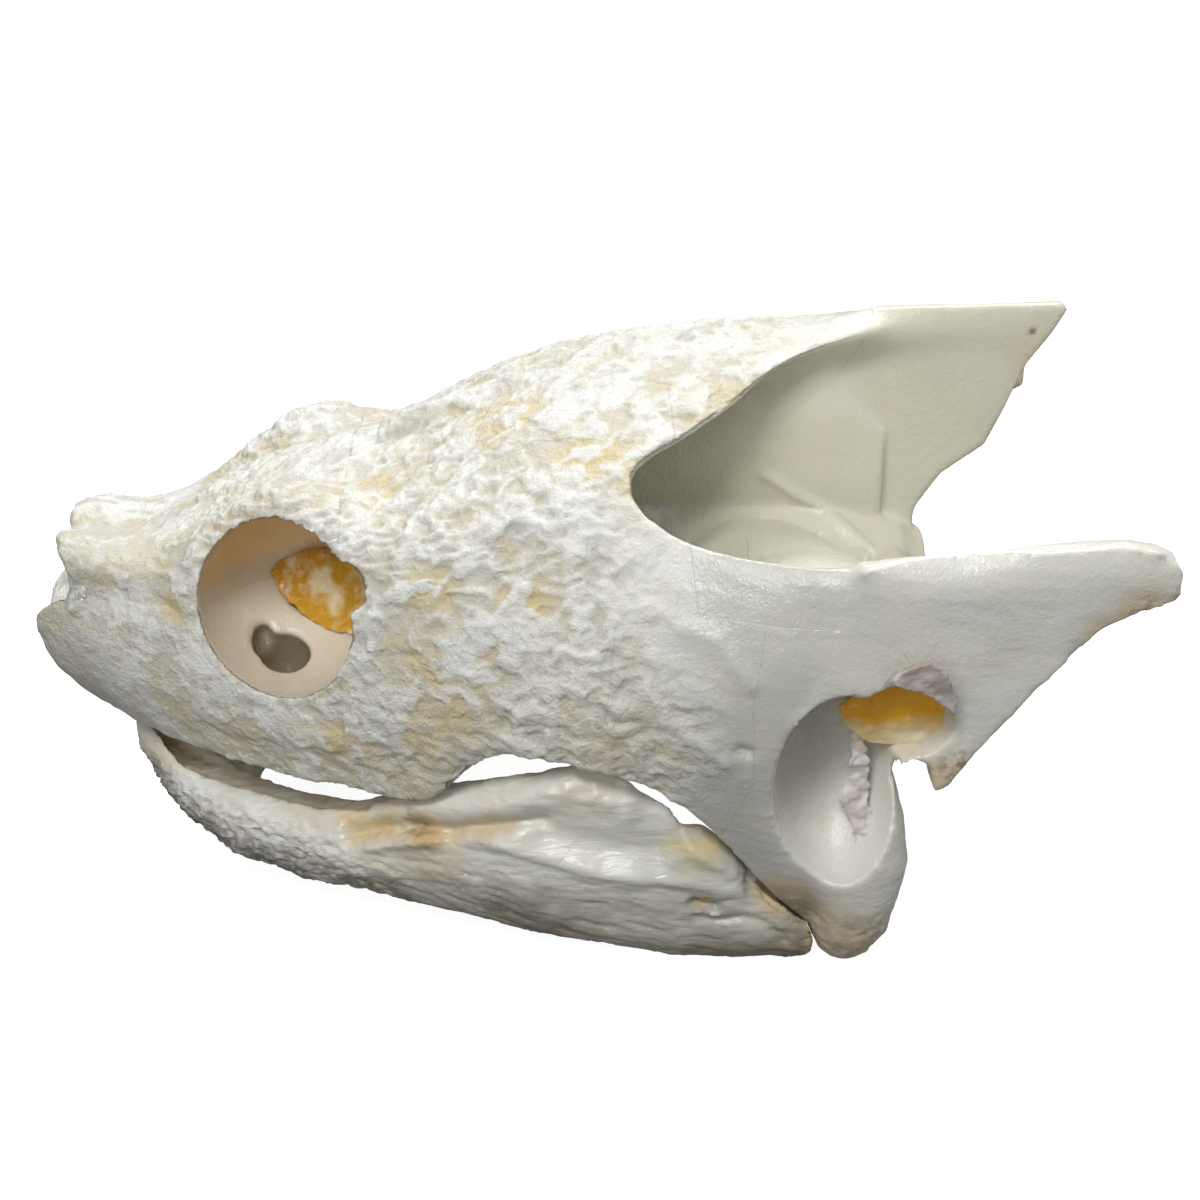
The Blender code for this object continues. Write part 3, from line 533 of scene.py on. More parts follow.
def braincase():
    """Box of the brain with the walls above it, ear bridges, condyle and bars behind the ears."""
    parts = [
        loft("braincase", "x", [(-26, 0, 33, 3, 9), (-12, 0, 33, 5, 11), (0, 0, 32, 6.5, 11),
                                (12, 0, 31, 8.5, 11), (24, 0, 30, 9.5, 11), (33, 0, 29.5, 8.5, 9),
                                (36, 0, 29.5, 6.5, 7)]),
        loft("walls", "x", [(-24, 0, 42, 3, 8), (-10, 0, 45, 4, 10), (4, 0, 47, 4.4, 12),
                            (14, 0, 48, 4.2, 13), (24, 0, 47, 3.4, 12), (31, 0, 42, 2.4, 8)]),
        loft("base", "x", [(-20, 0, 22, 8, 3), (-6, 0, 20.5, 6.5, 3), (8, 0, 20, 8, 3.4),
                           (22, 0, 20, 9, 4), (34, 0, 22, 6, 4), (38, 0, 22.5, 4, 3.4)]),
        ball("condyle", (37.6, 0, 22.5), (4.4, 4.4, 3.6)),
    ]
    parts += pair("ear_bridge", "y", [(16, 3, 33, 9, 7), (18, 9, 34, 10, 6.5), (21, 15, 34, 10, 6.5),
                                      (22, 24, 34, 9, 8), (22, 30, 34, 8, 8)])
    parts += pair("ear_bar", "y", [(31.5, 4, 33, 3.5, 4), (31.5, 14, 33.5, 2.4, 3.4),
                                   (33, 24, 35, 2.4, 4.4), (36, 32, 37, 4, 6)])
    parts += pair("wing", "y", [(14, 2, 19, 14, 3), (15, 9, 18, 11, 2.4), (18, 16, 15.5, 7, 2.2),
                                (21, 24, 12, 5, 3.4)])
    return parts


def snout_core():
    """Bone around the nasal passage and the eyes, and the palate."""
    parts = [
        loft("core", "x", [(-59, 0, 23, 4.5, 4.5), (-52, 0, 28.5, 9.5, 9), (-46, 0, 30, 12, 10),
                           (-40, 0, 32, 14, 11), (-34, 0, 33.5, 15, 12), (-28, 0, 35, 16, 12.5),
                           (-22, 0, 36, 16, 12)], 2.6),
        loft("palate", "x", [(-56, 0, 21, 4, 3), (-48, 0, 21.5, 10, 2.8), (-36, 0, 21.5, 15, 3),
                             (-26, 0, 22, 18, 3), (-16, 0, 21.5, 13, 2.2), (-6, 0, 20.5, 9.5, 2.2)]),
    ]
    parts += pair("eye_floor", "x", [(-47, 9, 23, 4.5, 4), (-38, 12, 23, 7, 4), (-28, 16, 23.4, 8, 4),
                                     (-20, 18, 24.6, 7, 3.6), (-14, 22, 27, 4, 3)], 2.6)
    parts += pair("eye_rear", "z", [(-20, 18, 22, 3, 6), (-20.5, 17, 30, 2, 7), (-21, 15, 40, 2, 7),
                                    (-22, 12.5, 44.4, 3, 6)])
    return parts


def quadrates():
    """Ear blocks with the hinge knuckles that stand on the floor."""
    parts = pair("quadrate", "z", [(25.6, 28.3, -0.4, 1.8, 1.6), (25.6, 28.3, 1.0, 3.1, 2.9),
                                   (25.7, 28.6, 3.4, 4.2, 4.4), (25.8, 29, 8, 4.9, 5.3),
                                   (25.3, 29.2, 12, 6.2, 5.6), (23.7, 29.5, 17, 7.1, 6.2),
                                   (21.4, 30, 23, 7.6, 6.8), (22.2, 30, 31, 8.8, 7.2),
                                   (23.4, 30, 38, 8.6, 5.8)])
    for side in (1, -1):
        parts.append(plate("ear_rear", EAR_REAR_OUTLINE, lambda x, z: side * 30.4, EAR_REAR_THICK))
    return parts


def crest():
    """Blade of the crest, and its root along the roof."""
    blade = plate("crest", CREST_OUTLINE, lambda x, z: 0, CREST_THICK)
    root = loft("crest_root", "x", [(8, 0, 56.5, 6, 3), (20, 0, 58, 4.4, 2.4), (32, 0, 59.8, 2.4, 1.6),
                                    (46, 0, 60.8, 1.2, 0.9)])
    return [blade, root]


def horns():
    """Squamosal plates behind the ears; the right tip, hidden in the photo, is a little shorter."""
    parts = []
    for side, reach in ((1, SHORT_HORN), (-1, 60)):
        bar = [(18, 32, 44, 1.6, 1.6), (30, 33.4, 44.2, 2.2, 2), (42, 33.2, 45.4, 2.6, 2.6),
               (50, 33, 46, 2.6, 2.7), (min(54.4, reach), 33, 45.8, 1.8, 1.8)]
        parts.append(loft("horn_bar", "x", [(x, side * w, z, a, b) for x, w, z, a, b in bar]))
        outline = [(min(x, reach), z) for x, z in HORN_OUTLINE]
        parts.append(plate("horn", outline,
                           lambda x, z: side * (33.6 - 0.02 * max(x - 34, 0) - 0.10 * max(40 - z, 0)),
                           HORN_THICK))
    return parts


def hollow_cutter():
    """All sockets and cavities as one closed body."""
    cutters = [ball("nose", *NOSE), ball("brain_hole", *BRAIN_HOLE)]
    for name, shape in HOLLOWS.items():
        cutters += ball_pair(name, shape)
    return even_grain(join(cutters, "hollows"))


def cranium(sheet):
    """The whole head in one closed body."""
    parts = [skin_bone(sheet)] + snout_core() + braincase() + quadrates() + crest() + horns()
    body = keep_largest(even_grain(join(parts, "cranium")))
    carve(body, hollow_cutter())
    return keep_largest(soften(even_grain(body), SOFT_PASSES))


def room_around(body):
    """Copy of a body grown by the room that the jaw leaves to it."""
    room = link_object("room", body.data.copy())
    return even_grain(change(room, "DISPLACE", strength=JAW_ROOM * MM, mid_level=0))


def lower_jaw(head):
    """The whole lower jaw in one closed body, clear of the head."""
    parts = pair("jaw", "x", JAW, 2.2) + pair("keel", "x", JAW_KEEL)
    parts.append(loft("chin", "x", CHIN_SHELF))
    body = keep_largest(even_grain(join(parts, "lower_jaw")))
    for cutter in pair("trough", "x", TROUGH) + [room_around(head)]:
        carve(body, cutter)
    return keep_largest(soften(even_grain(body), SOFT_PASSES))


def points_of(mesh):
    """Places of a mesh's vertices in millimetres, and their normals."""
    count = len(mesh.vertices)
    places = np.empty(count * 3, np.float32)
    normals = np.empty(count * 3, np.float32)
    mesh.vertices.foreach_get("co", places)
    mesh.vertex_normals.foreach_get("vector", normals)
    return places.reshape(-1, 3) / MM, normals.reshape(-1, 3)


def move_points(mesh, places):
    """Put a mesh's vertices at the places, given in millimetres."""
    mesh.vertices.foreach_set("co", (places * MM).astype(np.float32).ravel())
    mesh.update()


def ramp(value, low, high):
    """Smooth step from 0 at low to 1 at high."""
    t = np.clip((value - low) / (high - low), 0, 1)
    return t * t * (3 - 2 * t)


def fall(value, low, high):
    """Smooth step from 1 at low to 0 at high."""
    return 1 - ramp(value, low, high)


def lattice(cells):
    """Well mixed whole numbers from 0 to 255 for the corners of a lattice."""
    x, y, z = (cells[:, i].astype(np.int64) & 255 for i in range(3))
    return MIXER[(MIXER[(MIXER[x] + y) & 255] + z) & 255]


def soft_noise(places, size, seed=0.0):
    """Smooth noise of about -1 to 1 at each place, with features of the given size in millimetres."""
    spots = places / size + np.array((seed, seed * 1.7, -seed))
    base = np.floor(spots)
    inner = (spots - base).astype(np.float32)
    ease = inner ** 3 * (inner * (inner * 6 - 15) + 10)
    total = np.zeros(len(places), np.float32)
    for corner in itertools.product((0, 1), repeat=3):
        slope = SLOPES[lattice(base + corner)]
        weight = np.ones(len(places), np.float32)
        for i in range(3):
            weight *= ease[:, i] if corner[i] else 1 - ease[:, i]
        total += weight * ((inner - corner) * slope).sum(1)
    return total * 1.5


def ridges(places, size, seed=0.0):
    """Noise with sharp crests, from about 0 in the pits to 1 on the crests."""
    return 1 - np.abs(soft_noise(places, size, seed)) * 2


def cell_pits(places, size, seed=0.0):
    """1 at the middle of scattered cells and 0 at their rims."""
    spots = places / size + seed
    base = np.floor(spots)
    nearest = np.full(len(places), 9.0, np.float32)
    for step in itertools.product((-1, 0, 1), repeat=3):
        cell = base + step
        away = ((cell + 0.5 + 0.45 * SLOPES[lattice(cell)] - spots) ** 2).sum(1)
        nearest = np.minimum(nearest, away)
    return fall(np.sqrt(nearest), 0.1, 0.62)


def line_mask(places, line, width):
    """1 on a line of the side view and 0 beyond its width, on both sides of the skull."""
    flat = places[:, (0, 2)]
    nearest = np.full(len(flat), 1e9)
    for start, end in zip(np.array(line[:-1], float), np.array(line[1:], float)):
        along = end - start
        share = np.clip((flat - start) @ along / (along @ along), 0, 1)
        nearest = np.minimum(nearest, ((flat - start - share[:, None] * along) ** 2).sum(1))
    return np.exp(-nearest / width ** 2)


def line_relief(places, normals, lines):
    """Sum of ridges and grooves drawn on the sides; each has its reach of half width."""
    total = np.zeros(len(places))
    y = np.abs(places[:, 1])
    outward = ramp(normals[:, 1] * np.sign(places[:, 1]), 0.0, 0.4)
    for line, width, height, (inner, outer) in lines:
        near = ramp(y, inner - 1, inner) * fall(y, outer, outer + 1)
        total += height * near * outward * line_mask(places, line, width)
    return total


def pitted_mask(places, normals, sheet):
    """Where the outer skin is pitted: roof, snout and the front of the cheek, not the inner sides."""
    tree = BVHTree.FromObject(sheet, bpy.context.evaluated_depsgraph_get())
    outer = np.zeros(len(places))
    for i, (place, normal) in enumerate(zip(places, normals)):
        near = tree.find_nearest(Vector(place) * MM, 1.2 * MM)
        if near[0] is not None:
            facing = near[1].dot(Vector(normal))
            outer[i] = max(facing, 0) * (1 - near[3] / (1.2 * MM))
    x, _, z = places.T
    on_top = ramp(normals[:, 2], 0.1, 0.45) * ramp(z, 37, 40)
    outer = np.maximum(ramp(outer, 0.15, 0.5), on_top)
    end = 8 - 0.35 * np.maximum(z - 30, 0) - 0.5 * np.maximum(23 - z, 0) + 4 * soft_noise(places, 7, 31)
    on_cheek = fall(x, end - 7, end + 8)
    on_roof = ramp(z, 49, 52) * fall(x, 14, 30)
    return outer * np.maximum(on_cheek, on_roof)


def veins(places, size, seed=0.0):
    """Network of narrow crests: 1 on a crest and 0 between them."""
    away = np.clip(np.abs(soft_noise(places, size, seed)) * 2.1, 0, 1)
    return (1 - away) ** 1.5


def rugged(places, seed=0.0):
    """Rough ground, made of mounds of five sizes."""
    total = np.zeros(len(places))
    for size, high in MOUNDS:
        total += high * soft_noise(places, size, seed + size)
    return total


def patches(places, size, seed, low, high):
    """1 inside the patches of a smooth noise and 0 outside."""
    return ramp(soft_noise(places, size, seed), low, high)


def blend(layers, shares, start=0.0):
    """Sum of the layers, each with its share."""
    return sum((share * layer for layer, share in zip(layers, shares)), start)


def relief_of_head(places, normals, sheet):
    """Height of the surface relief of the head in millimetres, with its pits and its pitted part."""
    pitted = pitted_mask(places, normals, sheet)
    x, y, z = places.T

    # Everywhere: slow waves, the drawn ridges and grooves, and faint fibres on the smooth flanks.
    fibres = ridges(places * (0.22, 0.5, 1) + (0, 0, 0.08) * x[:, None], 1.5, 33)
    height = 0.14 * soft_noise(places, 6, 41) + line_relief(places, normals, HEAD_LINES)
    height += 0.05 * (1 - pitted) * ramp(np.abs(y), 20, 26) * fibres

    # Places on the pitted part, drawn out along the bone and shaken, so that the pits run irregularly.
    pits = np.zeros(len(places))
    rough = np.flatnonzero(pitted > 0.01)
    spots = places[rough]
    x, z = spots[:, 0], spots[:, 2]
    roof = ramp(z, 40, 46)
    lean = np.stack([(0.5 + 0.3 * roof) * x, spots[:, 1], z + 0.22 * x * (1 - roof)], 1)
    drift = np.stack([soft_noise(spots, 2.6, seed) for seed in (3, 7, 11)], 1)
    lean = lean + drift * 1.3

    # Layers of the pitted part. It is weaker at the tip of the snout and along the lower margin.
    ground = rugged(lean, 2)
    crest = veins(lean, 2.7, 13) * patches(spots, 5, 8, -0.35, 0.15)
    net = veins(lean, 1.25, 23) * patches(spots, 4, 28, -0.3, 0.1)
    small = cell_pits(lean, 1.5, 5) * patches(spots, 6, 18, -0.2, 0.2)
    large = cell_pits(spots + drift, 3.4, 9) * patches(spots, 9, 4, -0.1, 0.3)
    strong = 0.7 + 0.3 * patches(spots, 11, 6, -0.4, 0.3)
    strong = strong * (0.45 + 0.55 * ramp(x, -50, -38)) * (0.6 + 0.4 * ramp(z + 0.4 * x, 8, 16))
    layers = (ground, crest, net, small, large)
    height[rough] += pitted[rough] * strong * blend(layers, RELIEF_SHARES)
    # Stain in the low places, made stronger toward the lower cheek as painted shade there.
    low = blend(layers, STAIN_SHARES, STAIN_START)
    pits[rough] = pitted[rough] * np.clip(low * (1.35 - 0.35 * ramp(z, 20, 32)), 0, 1)

    # The hinge knuckles are rough, too.
    knuckle = fall(places[:, 2], 4, 11)
    height += 0.2 * knuckle * (rugged(places * (1, 1, 0.6), 15) - 0.5 * cell_pits(places, 1.3, 15))
    pits = np.maximum(pits, 0.6 * knuckle * cell_pits(places, 1.3, 15))
    return height, pits, pitted


def relief_of_jaw(places, normals):
    """Height of the relief of the lower jaw: fibres along the bone, and pits at the chin."""
    x, _, z = places.T
    swung = places + soft_noise(places, 4, 35)[:, None] * (0, 0.6, 0.6)
    along = swung * (0.13, 0.7, 1) + np.stack([x * 0, x * 0, x * 0.1], 1)
    fibres = ridges(along, 0.9, 21) + 0.6 * ridges(along, 0.5, 23)
    chin = fall(x, -34, -16) * fall(z + 0.16 * x, 2.5, 6)
    pits = cell_pits(places * (0.6, 1, 1.2), 0.9, 25) * chin
    low = fall(z, 9, 14) * 0.6 + 0.4
    height = 0.22 * low * (fibres - 0.8) + 0.3 * soft_noise(places * (0.5, 1, 1), 4, 27) - 0.3 * pits
    height += 0.3 * chin * ridges(places * (0.4, 1, 1), 1.1, 29)
    height += 1.4 * line_relief(places, normals, JAW_LINES)
    height += 0.25 * ramp(z, 15, 19) * rugged(places * (0.6, 1, 1), 37)
    dark = np.clip(pits + 0.55 * fall(fibres, 0.0, 1.1) * low, 0, 1)
    return height, dark, chin


def place_mask(places, spots):
    """Sum of soft balls; a ball off the midline is there on both sides."""
    x, y, z = places.T
    total = np.zeros(len(places))
    for (cx, width, cz), reach, strength in spots:
        away = np.sqrt((x - cx) ** 2 + (np.abs(y) - width) ** 2 + (z - cz) ** 2)
        total = np.maximum(total, strength * fall(away, 0.35 * reach, reach))
    return total


def beyond(places, hollow):
    """How far a place lies outside a hollow's oval: 0 on its wall and 1 a little behind it."""
    (cx, width, cz), radii = HOLLOWS[hollow]
    flat = np.stack([places[:, 0] - cx, np.abs(places[:, 1]) - width, places[:, 2] - cz], 1)
    return ramp(np.sqrt(((flat / radii) ** 2).sum(1)), 1.03, 1.09)


def tone_masks(places, normals, pitted):
    """Where the bone is cool, dark or tan, where it faces down, lies in the eye or is ivory; the mask
    where it faces down is painted shade, and so is part of the dark and the tan.
    """
    x, y, z = places.T
    swing = 2.5 * soft_noise(places, 8, 51)

    # Cool on the smooth flanks, but not in the ear, and at the beak.
    side = ramp(np.abs(y) + swing, 24, 30)
    cool = side * ramp(x + swing, -2, 12) * (1 - 0.6 * pitted) * ramp(z, 3, 9)
    cool = cool * (1 - 0.75 * ramp(x + swing, 20, 30)) * (1 - 0.8 * place_mask(places, CUP_PLACES))
    cool = np.maximum(cool, 0.7 * ramp(-x + swing, 50, 58) * fall(z, 33, 38))

    # Painted shade in the passage behind the eye window, and dark at the drawn spots.
    behind = beyond(places, "orbit")
    dark = np.maximum(place_mask(places, DRAIN_SHADE_PLACES) * behind, place_mask(places, DARK_PLACES))
    socket = place_mask(places, SOCKET_PLACES) * (1 - pitted)

    # Tan as painted shade on the vault of the eye socket where it faces down, and tan at the drawn
    # places and inside the jaw.
    down = -normals[:, 2] + 0.15 * soft_noise(places, 3, 53)
    vault_shade = socket * ramp(z + soft_noise(places, 4, 57), 33.5, 36.5) * ramp(down, -0.25, 0.3)
    inward = ramp(-normals[:, 1] * np.sign(y), -0.1, 0.35) * fall(x, -20, -8) * ramp(z, 6, 9)
    tan = np.maximum(place_mask(places, TAN_PLACES), vault_shade)
    tan = np.maximum(tan, inward * fall(z, 14, 17))

    # Painted shade where the bone faces down, and along the lower edge of the jaw.
    underside_shade = ramp(down, -0.3, 0.35) * (0.12 + 0.88 * fall(z, 6, 12))
    bottom = np.interp(x, JAW_BOTTOM[0], JAW_BOTTOM[1])
    underside_shade = np.maximum(underside_shade, 0.9 * fall(z - bottom + soft_noise(places, 4, 59), 0.5, 7))
    underside_shade = underside_shade * (1 - 0.85 * ramp(x, 20, 24))

    # Ivory on smooth bone, and most of all in the hollow behind the roof.
    fossa = fall(np.abs(y), 16, 22) * ramp(x, 0, 4) * ramp(z, 26, 30)
    ivory = (1 - pitted) * (1 - cool) * (1 - socket) * (0.75 + 0.25 * fossa)
    return cool, dark, tan, underside_shade, socket, ivory


def fold_weight(places, normals):
    """Where plates overlap in a step that has to be smoothed: outside of the horns and the crest."""
    x, y, z = places.T
    outward = ramp(normals[:, 1] * np.sign(y), 0.1, 0.5)
    horn = outward * ramp(x, 10, 16) * ramp(z, 36, 40) * ramp(np.abs(y), 22, 25)
    crest = ramp(x, 14, 20) * ramp(z, 50, 54) * ramp(np.abs(y), 0.6, 1.2) * fall(x, 44, 47)
    return np.maximum(horn, crest)


def smooth_folds(mesh, times=160):
    """Even out the steps between overlapping plates."""
    places, normals = points_of(mesh)
    weight = fold_weight(places, normals)
    ends = np.empty(len(mesh.edges) * 2, np.int32)
    mesh.edges.foreach_get("vertices", ends)
    ends = ends.reshape(-1, 2)
    ends = ends[(weight[ends] > 0.01).any(1)]
    here, there = np.concatenate([ends, ends[:, ::-1]]).T
    used = np.flatnonzero(weight > 0.01)
    share = 0.6 * weight[used, None]
    count = np.bincount(here, minlength=len(places))[used, None]
    for _ in range(times):
        total = [np.bincount(here, places[there, i], len(places))[used] for i in range(3)]
        places[used] += share * (np.stack(total, 1) / count - places[used])
    move_points(mesh, places)


def dress_surface(body, relief):
    """Shape the relief into the body and return each point's marks for the materials."""
    mesh = body.data
    smooth_folds(mesh)
    places, normals = points_of(mesh)
    height, pits, pitted = relief(places, normals)
    moved = places + normals * height[:, None]
    moved[:, 2] = np.maximum(moved[:, 2], 0.0)
    move_points(mesh, moved)
    ragged = places + np.stack([soft_noise(places, 1.6, seed) for seed in (71, 73, 79)], 1) * 1.2
    stain_places = (YELLOW_PLACES, ORANGE_PLACES, GREY_PLACES, BROWN_PLACES)
    yellow, orange, grey, brown = (place_mask(ragged, spots) for spots in stain_places)
    in_groove = 0.7 * line_mask(ragged, GROOVE, 1.1) * ramp(soft_noise(places, 3, 83), -0.6, 0.1)
    orange = np.maximum(orange, in_groove * (np.abs(places[:, 1]) > 18) * (places[:, 2] < 18))
    tones = tone_masks(places, normals, pitted)
    return tree_of(moved * MM), np.stack([pits, pitted, yellow, orange, grey, brown, *tones], 1)


def ribbon(axis, reach, line):
    """Thin sheet along a line across two axes, drawn out along the third."""
    order = {"y": lambda u, v, w: (u, w, v), "z": lambda u, v, w: (u, v, w)}[axis]
    bm = bmesh.new()
    start = [bm.verts.new(order(u, v, reach[0])) for u, v in line]
    edges = [bm.edges.new(ends) for ends in zip(start, start[1:])]
    drawn = bmesh.ops.extrude_edge_only(bm, edges=edges)["geom"]
    moved = [item for item in drawn if isinstance(item, bmesh.types.BMVert)]
    bmesh.ops.translate(bm, vec=order(0, 0, reach[1] - reach[0]), verts=moved)
    return change(add_object("suture", bm), "SOLIDIFY", thickness=SEAM * MM, offset=0)


def cut_sutures(body, sutures):
    """Cut the body along each suture, and along its mirror image where it has one."""
    for axis, reach, line in sutures:
        carve(body, ribbon(axis, reach, line))
        if reach == SIDE:
            carve(body, ribbon(axis, (-reach[1], -reach[0]), line))
        elif axis == "z" and line[0][1]:
            carve(body, ribbon(axis, reach, [(x, -y) for x, y in line]))
    return body


def named_points(middle, side):
    """Each bone name with the point that lies on it."""
    points = {name: Vector(point) for name, point in middle.items()}
    for name, (x, w, z) in side.items():
        points[name + "_right"] = Vector((x, w, z))
        points[name + "_left"] = Vector((x, -w, z))
    return points


def mark_points(mesh, tree, marks):
    """Give each point the marks of the whole skull's nearest point, three to a point colour."""
    nearest = np.array([tree.find(vert.co)[1] for vert in mesh.vertices])
    found = marks[nearest].astype(np.float32)
    for i, name in enumerate(MARKS):
        colours = np.ones((len(nearest), 4), np.float32)
        colours[:, :3] = found[:, 3 * i:3 * i + 3]
        layer = mesh.color_attributes.new(name.lower(), "FLOAT_COLOR", "POINT")
        layer.data.foreach_set("color", colours.ravel())


def part_bones(body, points, tree, marks):
    """Part the cut body into loose pieces, and give each to the bone whose point is nearest."""
    bm = bmesh.new()
    bm.from_mesh(body.data)
    bpy.data.objects.remove(body)
    pieces = []
    for group in islands(bm):
        if len(group) < SMALLEST_PIECE:
            continue
        piece = bmesh.new()
        copies = {vert: piece.verts.new(vert.co) for vert in sorted(group, key=INDEX)}
        faces = {face for vert in group for face in vert.link_faces}
        for face in sorted(faces, key=INDEX):
            piece.faces.new([copies[vert] for vert in face.verts])
        pieces.append((BVHTree.FromBMesh(piece), piece))
    bm.free()
    bones = {}
    for name, point in points.items():
        near = min(pieces, key=lambda item: item[0].find_nearest(point * MM)[3])
        pieces.remove(near)
        bone = object_of(name + "_bone", near[1])
        mark_points(bone.data, tree, marks)
        bone.data.transform(Matrix.Translation(SHIFT * MM))
        bone.data.shade_smooth()
        bone.data.set_sharp_from_angle(angle=SEAM_ANGLE)
        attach(bone, "root")
        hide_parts(name)
        bones[name] = bone
    return bones


def membrane(name, outline, half_width, thick, crumple):
    """Dried membrane: a thin plate from a side outline, crumpled by noise."""
    sheet = plate(name, outline, half_width, thick)
    soften(even_grain(sheet, MEMBRANE_GRAIN), MEMBRANE_PASSES)
    places, _ = points_of(sheet.data)
    fold = crumple * soft_noise(places, 1.5, 61) + 0.4 * crumple * soft_noise(places, 0.6, 63)
    ragged = 0.35 * soft_noise(places, 0.8, 65)
    places[:, 1] += fold
    places[:, 0] += ragged
    move_points(sheet.data, places)
    keep_largest(sheet)
    sheet.data.transform(Matrix.Translation(SHIFT * MM))
    sheet.data.shade_smooth()
    return sheet


def socket_wall(x, z):
    """Half width of the inner wall of the eye socket."""
    (cx, width, cz), (long, deep, tall) = HOLLOWS["orbit"]
    inside = 1 - ((x - cx) / long) ** 2 - ((z - cz) / tall) ** 2
    return width - deep * math.sqrt(max(inside, 0.05))


def dried_membranes():
    """Remains of dried membrane in the ears and in the back of the eye sockets."""
    grey = membrane_material("grey_membrane", (0.66, 0.61, 0.60, 1), (0.36, 0.31, 0.27, 1),
                             (0.40, 0.30, 0.22, 1), (39.0, 41.0), 0.5, 0.0)
    dry = membrane_material("dry_membrane", (0.84, 0.82, 0.81, 1), (0.66, 0.61, 0.56, 1),
                            (0.78, 0.66, 0.46, 1), (26.0, 30.0), 0.5, 0.0)
    shell = membrane_material("shell_membrane", (0.84, 0.76, 0.56, 1), (0.74, 0.58, 0.28, 1),
                              (0.92, 0.44, 0.02, 1), (29.6, 31.8), 0.3, 0.4)
    amber = membrane_material("amber_membrane", (0.82, 0.70, 0.44, 1), (0.62, 0.34, 0.02, 1),
                              (0.36, 0.17, 0.04, 1), (36.8, 38.4), 0.2, 0.4)
    kinds = [
        ("ear_flap", FLAP, lambda x, z: 37.0 - 0.16 * (x - 31) - 0.12 * (34 - z), 0.5, 0.15,
         "squamosal_", grey),
        ("ear_shred", SHRED, lambda x, z: 29.6 + 0.2 * abs(z - 21), 0.45, 0.5, "quadrate_", dry),
        ("ear_web", WEB, lambda x, z: 30.6 + 0.22 * abs(z - 29) + 0.1 * abs(x - 29), 0.5, 0.3,
         "quadrate_", shell),
        ("eye_membrane", EYE_MEMBRANE, lambda x, z: socket_wall(x, z) + 0.15, 0.7, 0.25,
         "frontal", amber),
    ]
    for side, mark in ((-1, "left"), (1, "right")):
        for name, outline, half_width, thick, crumple, place, material in kinds:
            sheet = membrane(f"{name}_{mark}", outline, lambda x, z: side * half_width(x, z), thick,
                             crumple)
            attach(sheet, "root")
            sheet.data.materials.append(material)


def new_group(name, inputs, outputs):
    """Shader node group with its named sockets, and its two ends."""
    group = bpy.data.node_groups.new(name, "ShaderNodeTree")
    for in_out, sockets in (("INPUT", inputs), ("OUTPUT", outputs)):
        for socket, kind in sockets:
            group.interface.new_socket(socket, in_out=in_out, socket_type=kind)
    return group, group.nodes.new("NodeGroupInput"), group.nodes.new("NodeGroupOutput")


class Graph:
    """Short hand for adding and linking nodes in one tree."""

    def __init__(self, tree):
        self.tree = tree

    def feed(self, node, links):
        """Link or set the inputs of a node."""
        for socket, source in links.items():
            if isinstance(source, bpy.types.NodeSocket):
                self.tree.links.new(source, node.inputs[socket])
            else:
                node.inputs[socket].default_value = source

    def add(self, kind, links=None, **settings):
        node = self.tree.nodes.new(kind)
        for key, value in settings.items():
            setattr(node, key, value)
        self.feed(node, links or {})
        return node

    def math(self, operation, first, second, clamp=False):
        node = self.add("ShaderNodeMath", {0: first, 1: second}, operation=operation, use_clamp=clamp)
        return node.outputs[0]

    def times(self, first, second):
        return self.math("MULTIPLY", first, second)

    def plus(self, first, second):
        return self.math("ADD", first, second)

    def minus(self, first, second):
        return self.math("SUBTRACT", first, second)

    def mix(self, factor, first, second):
        node = self.add("ShaderNodeMix", {0: factor, 6: first, 7: second}, data_type="RGBA")
        return node.outputs[2]

    def noise(self, place, scale, detail, roughness=0.55):
        links = {"Vector": place, "Scale": scale, "Detail": detail, "Roughness": roughness}
        return self.add("ShaderNodeTexNoise", links).outputs["Fac"]

    def band(self, value, low, high):
        """Smooth step from 0 to 1 between two values."""
        links = {0: value, 1: low, 2: high, 3: 0.0, 4: 1.0}
        node = self.add("ShaderNodeMapRange", links, interpolation_type="SMOOTHSTEP")
        return node.outputs[0]

    def place(self, stretch=(1, 1, 1)):
        """Place on the skull, drawn out by the stretch."""
        place = self.add("ShaderNodeTexCoord").outputs["Object"]
        return self.add("ShaderNodeMapping", {"Vector": place, "Scale": stretch}).outputs[0]

    def bump(self, height, strength, distance):
        links = {"Height": height, "Strength": strength, "Distance": distance}
        return self.add("ShaderNodeBump", links).outputs["Normal"]


